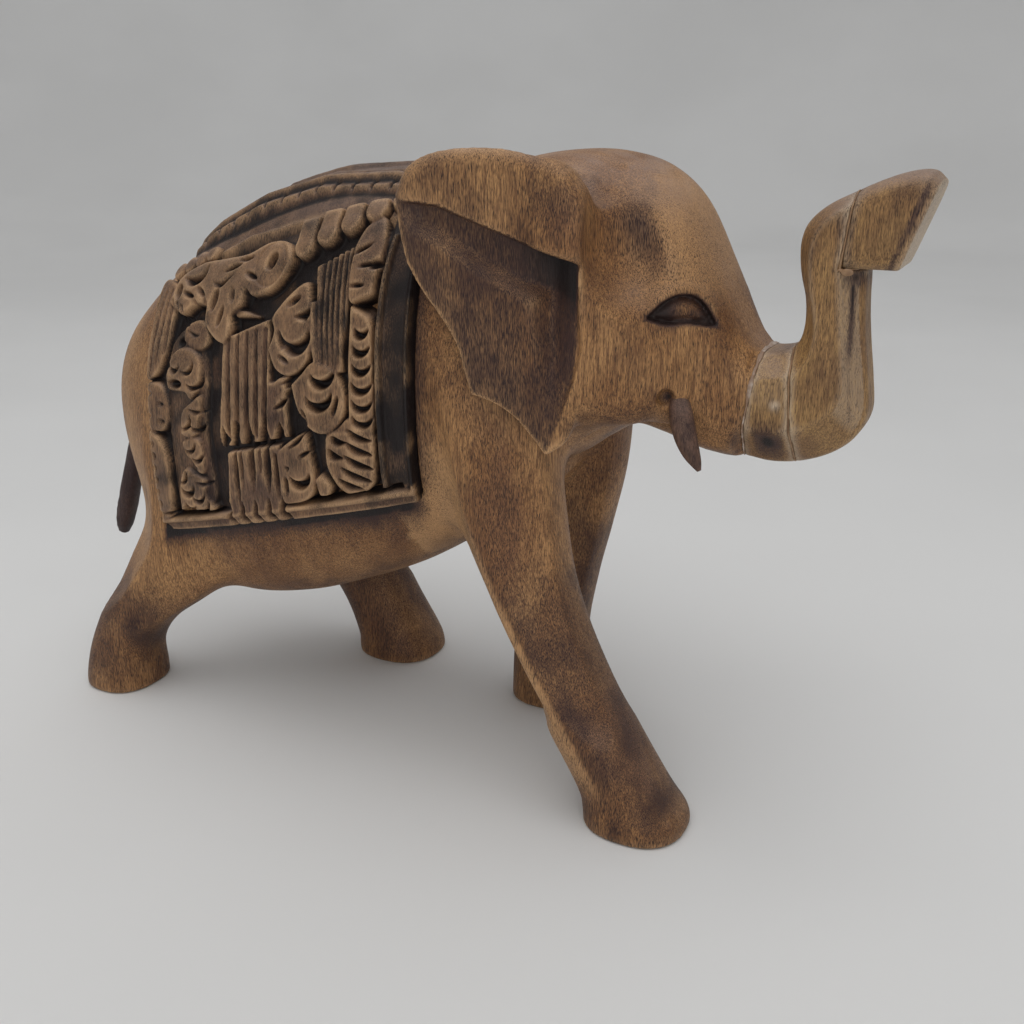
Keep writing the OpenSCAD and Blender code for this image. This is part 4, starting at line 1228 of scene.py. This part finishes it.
def pad_relief(x, y):
    """Height of the stepped pad, with its ledges and incised diamond."""
    cloth = pad_surface(x, y)
    out = np.abs(y)
    top = pad_top(x) - 0.006 * out ** 2
    half = np.interp(x, [-54, -48, -35, 6, 14], [10.6, 12.2, 13.4, 13.4, 11.8])
    ledge = top - 1.7
    # Two steps down to the cloth, with a row of notches on the first and a line on the top.
    z = ledge + (top - ledge) * smoothstep(half + 0.25, half - 0.25, out)
    lower = np.minimum(ledge - 1.9, np.maximum(cloth + 1.5, ledge - 5.4))
    z = lower + (z - lower) * smoothstep(half + 2.9, half + 2.4, out)
    notch = np.abs((x + 60) % 4.6 - 2.3) - 0.4
    on_ledge = smoothstep(half, half + 0.4, out) * smoothstep(half + 2.8, half + 2.4, out)
    z = z - 1.0 * smoothstep(0.3, -0.2, notch) * on_ledge
    z = z - 0.6 * smoothstep(0.45, 0.0, np.abs(out - half + 2.1) - 0.25)
    # The diamond: two lines, a raised middle with one more line, and its long axis.
    diamond = np.abs(x + 20) / 30 + out / 11.4
    for at in (0.98, 0.86):
        z = z - 0.75 * smoothstep(0.026, 0.0, np.abs(diamond - at) - 0.012)
    z = z + 0.7 * smoothstep(0.78, 0.74, diamond)
    z = z - 0.6 * smoothstep(0.03, 0.0, np.abs(diamond - 0.42) - 0.012)
    z = z - 0.45 * smoothstep(0.5, 0.1, np.abs(out)) * smoothstep(0.74, 0.7, diamond)
    rear = smoothstep(-54.4, -53.4, x)
    front = smoothstep(15.2, 14.4, x)
    side = smoothstep(20.6, 20.0, out)
    return (cloth - 2.5) + (z - cloth + 2.5) * rear * front * side


def make_pad(material):
    """The stepped pad on the back, as a sheet over x and y."""
    step = CLOTH_STEP * 1.2
    x_values = np.arange(-55.4, 15.8, step)
    y_values = np.arange(-21.2, 21.2 + step / 2, step)
    x, y = np.meshgrid(x_values, y_values, indexing="ij")
    z = smoothed(pad_relief(x, y) + 0.06 * pebble(x, y, 1.7, 8), 1)
    hollow = hollowness(z, step)
    stain_and_shade = np.clip(smoothstep(0.02, 0.6, hollow) * 1.0 + 0.4 + 0.15 * pebble(x, y, 3, 9), 0, 1)
    wear_and_highlight = np.clip(smoothstep(0.0, 0.6, -hollow) * 0.6, 0, 1)
    points, faces = closed_sheet(np.stack([x, y, z], -1))
    piece = new_piece("saddle_pad", points, faces)
    add_layers(piece, stain_and_shade.ravel(), wear_and_highlight.ravel())
    finished(piece, material, "carved_wood", "carved_body")


# ---------- trunk ----------

def tip_corner(block, shift):
    """Distance below zero in the corner that the trunk tip fills."""
    return np.maximum(beyond(block, TIP_JOINT, shift), -(block.z - TIP_LEDGE_Z - shift))


def paint_trunk(points, normal, hollow):
    stain_and_shade = smoothstep(0.15, 0.9, hollow) * 0.6
    m = Paint(points, normal, stain_and_shade, smoothstep(0.15, 0.8, -hollow) * 0.7)
    x, out, z = m.x, m.out, m.z
    # The bit between the two lower joints is stained low on its sides and dusty above.
    root = smoothstep(75.5, 76.5, x) * smoothstep(82.8, 82.2, x - (z - 88) * 0.07)
    m.darken(m.spot(79, 81, 4.2, 4.6) * root)
    m.darken(0.6 * m.spot(79, 98.4, 4, 1.5))
    m.darken(0.16 * root)
    m.brighten(0.12 * root * smoothstep(86, 90, z) * smoothstep(98, 95, z))
    chip = np.exp(-((x - 80.2) ** 2 + (z - 88.6) ** 2) / 0.9)
    m.brighten(chip)
    m.stain_and_shade = m.stain_and_shade * (1 - chip)
    # Under the tip's ledge, and down the front bevel's edge.
    m.darken(0.95 * m.spot(91.6, 112, 1.9, 2.6))
    edge_x = np.interp(z, [84, 92, 100, 106, 112], [93.2, 92.8, 92.0, 91.6, 91.2])
    streak = np.exp(-((x - edge_x) / 0.55) ** 2) * smoothstep(94, 100, z) * smoothstep(114, 110, z)
    line = 0.4 * np.exp(-((x - edge_x) / 0.4) ** 2) * smoothstep(80, 90, z) * smoothstep(112, 108, z)
    m.darken(np.maximum(streak, line) * smoothstep(0.3, 0.6, np.abs(normal[:, 1])))
    front = smoothstep(0.5, 0.62, normal[:, 0]) * smoothstep(0.9, 0.8, np.abs(normal[:, 1]))
    m.brighten(0.34 * front * (out > 4) * (z < 113))
    m.darken(0.4 * np.exp(-((x - 89.2) / 1.6) ** 2) * (z > 112))
    return m.stain_and_shade, m.wear_and_highlight


def paint_tip(points, normal, hollow):
    stain_and_shade = 0.55 * np.exp(-((points[:, 0] - 90.4) / 1.6) ** 2)
    m = Paint(points, normal, stain_and_shade, smoothstep(0.15, 0.8, -hollow) * 0.5)
    end_x = 98.4 + (m.z - 112.3) * 0.348
    rim = np.exp(-((m.x - end_x + 1.5) / 0.8) ** 2)
    m.darken(0.75 * rim * smoothstep(0.75, 0.3, normal[:, 0]))
    m.brighten(smoothstep(0.6, 0.9, normal[:, 0]))
    return m.stain_and_shade, m.wear_and_highlight


def make_trunk(material):
    """The trunk's three pieces; gives back the whole trunk's field, for the glue."""
    block = Block((66, -12, 73), (105, 12, 132), TRUNK_VOXEL)
    trunk = block.inside(loft(TRUNK, 96, 8, TRUNK_FACETS))
    whole = join(trunk, block.inside(loft(HEAD, 96, 8)), 2.0)
    root_bore = bore(block, *ROOT_BORE)
    tip_bore = bore(block, *TIP_BORE)
    whole = np.maximum(np.maximum(whole, -root_bore), -tip_bore)
    upper = np.maximum(whole, beyond(block, ROOT_JOINT, GLUE / 2))
    bent = meet(upper, -tip_corner(block, -GLUE / 2), 0.3)
    lower = np.maximum(whole, beyond(block, HEAD_JOINT, GLUE / 2))
    root = np.maximum(lower, -beyond(block, ROOT_JOINT, -GLUE / 2))
    tip = meet(block.inside(loft(TIP, 96, 8)), tip_corner(block, GLUE / 2), 0.5)
    tip = np.maximum(tip, -tip_bore)
    for node, part, paint in (("trunk_root", root, paint_trunk), ("trunk", bent, paint_trunk),
                              ("trunk_tip", tip, paint_tip)):
        piece = new_piece(node + "_carved", *block.mesh(part))
        painted(block, part, round(1.2 / TRUNK_VOXEL), paint, piece)
        finished(piece, material, "carved_wood", node)
    return whole, block


# ---------- tusks and tail ----------

def rod_rings(path, n, flat):
    """Rings across a bent rod through points x, y, z, half thickness, half width."""
    fine = spline(path, 6)
    run = np.gradient(fine[:, :3], axis=0)
    run /= np.linalg.norm(run, axis=1, keepdims=True)
    rings = []
    for row, d in zip(fine, run):
        side = np.cross(d, flat)
        side /= np.linalg.norm(side)
        thick = np.cross(side, d)
        t = 2 * np.pi * (np.arange(n) + 0.5) / n
        u, v = signed_pow(np.cos(t), 0.85), signed_pow(np.sin(t), 0.85)
        rings.append(row[:3] + np.outer(u * row[4], side) + np.outer(v * row[3], thick))
    return rings


def make_rod(node, points, quads, tris, stain_and_shade, wear_and_highlight, material):
    """A dark piece, let into the block, whose faces are turned outward."""
    piece = new_piece(node + "_carved", points, quads.tolist() + tris.tolist())
    add_layers(piece, stain_and_shade, wear_and_highlight + 0 * stain_and_shade)
    work = bmesh.new()
    work.from_mesh(piece.data)
    bmesh.ops.recalc_face_normals(work, faces=work.faces)
    work.to_mesh(piece.data)
    work.free()
    finished(piece, material, "dark_wood", node)


def make_tusk(node, side, material):
    path = [[x, side * y, z, r * 0.8, r * 1.05] for x, y, z, r in TUSK]
    points, quads, tris = skin(rod_rings(path, 28, np.array([0.5, side * 0.86, 0.1])))
    x, y, z = points.T
    pale = smoothstep(1.0, -0.5, x - np.interp(z, [77, 90], [68, 61]))
    stain_and_shade = 0.42 + 0.3 * pebble(x * 2 + y, z, 1.2, 5) - 0.35 * pale
    make_rod(node, points, quads, tris, stain_and_shade, 0.1, material)


def make_tail(material):
    path = [[x, 0, z, thin, wide] for x, z, thin, wide in TAIL]
    points, quads, tris = skin(rod_rings(path, 32, np.array([0.8, 0.01, 0.6])))
    grooves = 0.16 * np.abs(pebble(points[:, 1] * 3, points[:, 2], 2.5, 6))
    points[:, 1] = points[:, 1] * (1 - grooves)
    stain_and_shade = 0.8 + 0.2 * pebble(points[:, 1] * 2, points[:, 2], 3, 7)
    make_rod("tail", points, quads, tris, stain_and_shade, 0, material)


# ---------- dried glue ----------

def fine_copy(block, field, low, high):
    """A finer block over part of a coarser one, with the field carried over."""
    fine = Block(low, high, GLUE_VOXEL)
    x, y, z = np.broadcast_arrays(fine.x, fine.y, fine.z)
    points = np.stack([x.ravel(), y.ravel(), z.ravel()], -1)
    return fine, block.sample(field, points).reshape(fine.shape).astype(np.float32)


def make_joint_glue(node, block, field, joint, material, bulge, spread):
    """An even film between two glued faces, with an uneven bead squeezed out round it."""
    px, pz = joint[0][0], joint[0][2]
    fine, near = fine_copy(block, field, (px - 3.4, -11, pz - 13), (px + 3.4, 11, pz + 15))
    y, z = np.broadcast_arrays(fine.y, fine.z)
    bead = 0.05 + bulge * (0.5 + 0.8 * pebble(y, z, 2.2, 11) + 0.6 * smoothstep(85, 95, z))
    smear = spread * smoothstep(86, 93, z) * (0.6 + 0.5 * pebble(y, z, 1.7, 13)) * smoothstep(-0.2, 0, near)
    film = np.abs(beyond(fine, joint)) - smear - GLUE * (0.5 + 0.3 * smoothstep(-0.1, 0.2, near))
    piece = new_piece(node + "_bead", *fine.mesh(meet(near - bead, film, 0.1)))
    finished(piece, material, "dried_glue", node)


def make_tip_glue(block, field, material):
    """The glue round the trunk's tip, with a small smear on its right side."""
    fine, near = fine_copy(block, field, (85, -9.6, 111.4), (94.6, 9.6, 129.5))
    y, z = np.broadcast_arrays(fine.y, fine.z)
    bead = 0.04 + 0.15 * pebble(y, z, 1.8, 12)
    film = np.abs(tip_corner(fine, 0)) - GLUE * (0.5 + 0.3 * smoothstep(-0.1, 0.2, near))
    glue = np.maximum(meet(near - bead, film, 0.1), fine.x - 93.6)
    dx, dy, dz = (fine.x - 90.6) * 0.5, (fine.y + 7.75) * 2, (fine.z - 113.2) * 0.8
    smear = np.sqrt(dx ** 2 + dy ** 2 + dz ** 2) - 0.55
    piece = new_piece("tip_glue_bead", *fine.mesh(join(glue, smear, 0.4)))
    finished(piece, material, "dried_glue", "tip_glue")


# ---------- materials ----------

def colour(r, g, b):
    """A linear colour from 0 to 255 display values."""
    def linear(v):
        v /= 255
        return v / 12.92 if v <= 0.04045 else ((v + 0.055) / 1.055) ** 2.4
    return (linear(r), linear(g), linear(b), 1)


class Shade:
    """Builds one material's nodes."""

    def __init__(self, name):
        self.material = bpy.data.materials.new(name)
        self.material.use_nodes = True
        self.tree = self.material.node_tree
        self.bsdf = self.tree.nodes["Principled BSDF"]
        place = self.tree.nodes.new("ShaderNodeTexCoord")
        self.place = place.outputs["Object"]

    def put(self, socket, value):
        """Links a socket to the input, or gives the input a plain value."""
        if isinstance(value, bpy.types.NodeSocket):
            self.tree.links.new(value, socket)
        else:
            socket.default_value = value

    def noise(self, scale, detail=2, roughness=0.5, warp=0):
        """Noise whose cells repeat scale times a millimetre along X, Y and Z."""
        stretch = self.tree.nodes.new("ShaderNodeMapping")
        stretch.inputs["Scale"].default_value = [v * 1000 for v in scale]
        self.put(stretch.inputs["Vector"], self.place)
        node = self.tree.nodes.new("ShaderNodeTexNoise")
        node.inputs["Scale"].default_value = 1
        node.inputs["Detail"].default_value = detail
        node.inputs["Roughness"].default_value = roughness
        node.inputs["Distortion"].default_value = warp
        self.put(node.inputs["Vector"], stretch.outputs["Vector"])
        return node.outputs["Fac"]

    def ramp(self, value, low, high, out_low=0.0, out_high=1.0):
        """The value, smoothly carried over from low and high to the two out values."""
        node = self.tree.nodes.new("ShaderNodeMapRange")
        node.interpolation_type = "SMOOTHSTEP"
        self.put(node.inputs["Value"], value)
        ends = {"From Min": low, "From Max": high, "To Min": out_low, "To Max": out_high}
        for key, number in ends.items():
            node.inputs[key].default_value = number
        return node.outputs["Result"]

    def maths(self, kind, a, b):
        node = self.tree.nodes.new("ShaderNodeMath")
        node.operation = kind
        self.put(node.inputs[0], a)
        self.put(node.inputs[1], b)
        return node.outputs[0]

    def mix(self, amount, a, b):
        node = self.tree.nodes.new("ShaderNodeMix")
        node.data_type = "RGBA"
        self.put(node.inputs["Factor"], amount)
        self.put(node.inputs[6], a)
        self.put(node.inputs[7], b)
        return node.outputs[2]

    def layer(self, name):
        """A value stored on the mesh."""
        node = self.tree.nodes.new("ShaderNodeAttribute")
        node.attribute_name = name
        return node.outputs["Fac"]

    def facing_up(self):
        """One on faces that look straight up, zero on upright ones."""
        facing = self.tree.nodes.new("ShaderNodeNewGeometry")
        split = self.tree.nodes.new("ShaderNodeSeparateXYZ")
        self.put(split.inputs[0], facing.outputs["Normal"])
        return split.outputs["Z"]

    def bump(self, height, strength, distance):
        node = self.tree.nodes.new("ShaderNodeBump")
        node.inputs["Strength"].default_value = strength
        node.inputs["Distance"].default_value = distance * MM
        self.put(node.inputs["Height"], height)
        self.tree.links.new(node.outputs["Normal"], self.bsdf.inputs["Normal"])


def wood(name, light, mid, dark, worn_and_highlight, deep, roughness=0.5, pore=0.6, dust_and_sheen_level=0.5):
    """Close-grained wood with upright grain, short pores, stained hollows, painted shade, worn edges and
    painted highlights, and dust with a painted sheen on faces that look up.
    """
    m = Shade(name)
    mottle = m.noise((0.055, 0.055, 0.03), 3, 0.6, 0.4)
    blotch = m.noise((0.05, 0.05, 0.028), 4, 0.65, 0.6)
    patches = m.noise((0.16, 0.16, 0.09), 3, 0.6)
    fibre = m.noise((3.0, 3.0, 0.16), 4, 0.65, 0.2)
    fine = m.noise((6.5, 6.5, 0.9), 2, 0.6)
    streaks = m.noise((7.6, 7.6, 0.7), 2.5, 0.6)
    pores = m.ramp(m.maths("ADD", streaks, m.ramp(mottle, 0.3, 0.7, -0.03, 0.05)), 0.52, 0.66)
    stain_and_shade = m.layer("stain_and_shade")
    wear_and_highlight = m.layer("wear_and_highlight")
    base = m.mix(m.ramp(mottle, 0.34, 0.66), light, mid)
    base = m.mix(m.ramp(patches, 0.5, 0.78, 0, 0.6), base, dark)
    base = m.mix(m.ramp(blotch, 0.5, 0.68, 0, 0.4), base, colour(94, 62, 56))
    base = m.mix(m.ramp(fibre, 0.36, 0.68, 0, 0.75), base, dark)
    base = m.mix(m.ramp(fine, 0.42, 0.7, 0, 0.5), base, dark)
    # Lighter towards the worn colour where wear and painted highlights are.
    wear_and_highlight_mix = m.maths("MULTIPLY", wear_and_highlight, m.ramp(fine, 0.25, 0.6, 0.55, 1.0))
    base = m.mix(wear_and_highlight_mix, base, worn_and_highlight)
    # Darker towards the deep colour where stain and painted shade are, and near black where they are
    # strongest.
    ragged = m.maths("ADD", stain_and_shade, m.ramp(patches, 0.3, 0.7, -0.15, 0.07))
    ragged = m.maths("ADD", ragged, m.ramp(streaks, 0.34, 0.66, -0.16, 0.2))
    darken = m.maths("MULTIPLY", m.ramp(ragged, 0.06, 0.92), m.ramp(fibre, 0.3, 0.75, 1.0, 0.86))
    base = m.mix(darken, base, deep)
    base = m.mix(m.ramp(stain_and_shade, 0.86, 1.0), base, colour(24, 16, 16))
    base = m.mix(m.maths("MULTIPLY", pores, pore), base, colour(36, 24, 22))
    # Faces that look up turn a light greyish lilac: partly dust, partly a painted sheen of the lamp
    # overhead.
    dust_and_sheen = m.maths("MULTIPLY", m.ramp(m.facing_up(), 0.35, 0.95, 0, dust_and_sheen_level), m.ramp(blotch, 0.38, 0.6))
    dust_and_sheen = m.maths("MULTIPLY", dust_and_sheen, m.ramp(fine, 0.3, 0.65, 0.4, 1.0))
    dust_and_sheen = m.maths("MULTIPLY", dust_and_sheen, m.ramp(darken, 0.2, 0.8, 1.0, 0.1))
    base = m.mix(dust_and_sheen, base, colour(168, 148, 138))
    m.put(m.bsdf.inputs["Base Color"], base)
    m.put(m.bsdf.inputs["Roughness"], m.ramp(fibre, 0.3, 0.75, roughness - 0.06, roughness + 0.12))
    m.bsdf.inputs["Specular IOR Level"].default_value = 0.34
    height = m.maths("SUBTRACT", m.maths("MULTIPLY", fibre, 0.35), pores)
    m.bump(m.maths("ADD", height, m.maths("MULTIPLY", fine, 0.3)), 0.5, 0.08)
    return m.material


def glue_material(name, light, mid, dirt, dirty):
    """Dried glue, cloudy and with dirt on it; dirty is how much of it is covered."""
    m = Shade(name)
    cloudy = m.noise((0.9, 0.9, 0.9), 3, 0.6)
    covered = m.ramp(m.noise((0.35, 0.35, 0.3), 2), 0.64 - 0.3 * dirty, 0.8 - 0.3 * dirty)
    base = m.mix(m.ramp(cloudy, 0.35, 0.65), light, mid)
    base = m.mix(covered, base, dirt)
    m.put(m.bsdf.inputs["Base Color"], base)
    m.put(m.bsdf.inputs["Roughness"], m.ramp(cloudy, 0.3, 0.7, 0.3, 0.5))
    m.bump(cloudy, 0.4, 0.1)
    return m.material


def dowel_material():
    """Pale wood with its grain along X."""
    m = Shade("dowel_wood")
    along = m.noise((0.1, 2.4, 2.4), 4, 0.6)
    base = m.mix(m.ramp(along, 0.35, 0.7), colour(190, 158, 112), colour(150, 116, 76))
    m.put(m.bsdf.inputs["Base Color"], base)
    m.put(m.bsdf.inputs["Roughness"], m.ramp(along, 0.3, 0.7, 0.5, 0.65))
    m.bump(along, 0.3, 0.1)
    return m.material


# ---------- stage ----------

# Millimetres and degrees, fitted to the photograph's outline.
CAMERA_TARGET = Vector((24, -6.1, 57.5))
CAMERA_AZIMUTH = 27.5
CAMERA_HEIGHT = 20
CAMERA_ROLL = -0.2
CAMERA_DISTANCE = 240
CAMERA_LENS = 38.67
CAMERA_SENSOR = 36
# Metres: the floor is flat out to FLOOR_FLAT, then curves up with the same radius.
FLOOR_FLAT = 0.9
WALL_TOP = 1.5
FLOOR_SIDES = 72
# Name, place, target, size, power and tint of each lamp.
LAMPS = [
    ("overhead", (-0.02, -0.12, 0.75), (0, 0, 0.05), 0.8, 2.05, (1, 1, 1)),
    ("front_fill", (0.45, -0.75, 0.35), (0, 0, 0.06), 0.6, 1.25, (1, 0.98, 0.95)),
]


def make_camera():
    data = bpy.data.cameras.new("camera")
    data.sensor_width = CAMERA_SENSOR
    data.lens = CAMERA_LENS
    data.clip_start = 0.005
    camera = bpy.data.objects.new("camera", data)
    az, el = math.radians(CAMERA_AZIMUTH), math.radians(CAMERA_HEIGHT)
    back = Vector((math.sin(az) * math.cos(el), -math.cos(az) * math.cos(el), math.sin(el)))
    camera.location = (CAMERA_TARGET + CAMERA_DISTANCE * back) * MM
    turn = back.to_track_quat("Z", "Y").to_matrix()
    roll = Euler((0, 0, math.radians(CAMERA_ROLL))).to_matrix()
    camera.rotation_euler = (turn @ roll).to_euler()
    bpy.context.scene.collection.objects.link(camera)
    bpy.context.scene.camera = camera


def make_light(name, place, target, size, power, tint):
    data = bpy.data.lights.new(name, "AREA")
    data.shape = "DISK"
    data.size = size
    data.energy = power
    data.color = tint
    lamp = bpy.data.objects.new(name, data)
    lamp.location = place
    aim = Vector(target) - Vector(place)
    lamp.rotation_euler = aim.to_track_quat("-Z", "Y").to_euler()
    lamp.visible_camera = False
    bpy.context.scene.collection.objects.link(lamp)


def make_floor():
    """A pale bowl: a flat floor that curves up into a wall all round."""
    m = Shade("pale_floor")
    cloud = m.noise((0.004, 0.004, 0.004), 3, 0.5)
    tint = m.mix(m.ramp(cloud, 0.3, 0.7), colour(226, 226, 225), colour(220, 220, 219))
    m.put(m.bsdf.inputs["Base Color"], tint)
    m.bsdf.inputs["Roughness"].default_value = 0.7
    m.bsdf.inputs["Specular IOR Level"].default_value = 0.2
    profile = [(0.02, 0), (0.4, 0), (FLOOR_FLAT, 0)]
    for step in range(1, 13):
        a = math.radians(7.5 * step)
        profile.append((FLOOR_FLAT * (1 + math.sin(a)), FLOOR_FLAT * (1 - math.cos(a))))
    profile.append((2 * FLOOR_FLAT, WALL_TOP))
    count = FLOOR_SIDES
    points = [(0, 0, 0)]
    for radius, height in profile:
        for i in range(count):
            a = 2 * math.pi * i / count
            points.append((radius * math.cos(a), radius * math.sin(a), height))
    faces = [(0, 1 + i, 1 + (i + 1) % count) for i in range(count)]
    for r in range(len(profile) - 1):
        for i in range(count):
            a, b = 1 + r * count + i, 1 + r * count + (i + 1) % count
            faces.append((a, a + count, b + count, b))
    mesh = bpy.data.meshes.new("floor")
    mesh.from_pydata(points, [], faces)
    mesh.shade_smooth()
    floor = bpy.data.objects.new("floor", mesh)
    floor.data.materials.append(m.material)
    bpy.context.scene.collection.objects.link(floor)


def make_stage():
    """Even grey light all round, with a soft lamp overhead and one in front."""
    scene = bpy.context.scene
    world = bpy.data.worlds.new("studio")
    scene.world = world
    world.use_nodes = True
    sky = world.node_tree.nodes["Background"]
    sky.inputs["Color"].default_value = colour(224, 224, 225)
    sky.inputs["Strength"].default_value = 0.8
    scene.view_settings.view_transform = "Standard"
    make_floor()
    for lamp in LAMPS:
        make_light(*lamp)
    make_camera()


# ---------- build ----------

make_stage()
body_wood = wood("carved_wood", colour(193, 146, 95), colour(160, 113, 68), colour(88, 56, 38),
                 colour(205, 162, 116), colour(54, 33, 32), roughness=0.48, pore=0.8)
cloth_wood = wood("saddlecloth_wood", colour(150, 114, 82), colour(118, 88, 66), colour(66, 47, 41),
                  colour(196, 158, 118), colour(23, 17, 17), roughness=0.5, pore=0.5, dust_and_sheen_level=0.3)
trunk_wood = wood("trunk_wood", colour(186, 148, 94), colour(162, 122, 78), colour(100, 72, 50),
                  colour(204, 184, 160), colour(60, 40, 41), roughness=0.45, pore=0.6)
dark_wood = wood("dark_wood", colour(126, 94, 76), colour(100, 74, 62), colour(62, 42, 40),
                 colour(150, 120, 92), colour(52, 36, 36), roughness=0.5, pore=0.45)
pale_glue = glue_material("dried_glue", colour(182, 166, 152), colour(152, 126, 108),
                          colour(136, 108, 86), dirty=0.7)
brown_glue = glue_material("stained_glue", colour(158, 126, 94), colour(142, 110, 80),
                           colour(124, 94, 68), dirty=0.6)

make_body(body_wood)
for side_name, side_sign in SIDES.items():
    make_flank("saddlecloth_" + side_name, side_sign, cloth_wood)
    make_tusk("tusk_" + side_name, side_sign, dark_wood)
make_pad(cloth_wood)
whole_trunk, trunk_block = make_trunk(trunk_wood)
make_joint_glue("head_glue", trunk_block, whole_trunk, HEAD_JOINT, pale_glue, bulge=0.1, spread=0.5)
make_joint_glue("root_glue", trunk_block, whole_trunk, ROOT_JOINT, brown_glue, bulge=0.02, spread=0)
make_tip_glue(trunk_block, whole_trunk, brown_glue)
make_tail(dark_wood)
dowels = dowel_material()
for dowel in ("trunk_dowel", "tip_dowel"):
    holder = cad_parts[dowel]
    holder.data.materials.clear()
    holder.data.materials.append(dowels)
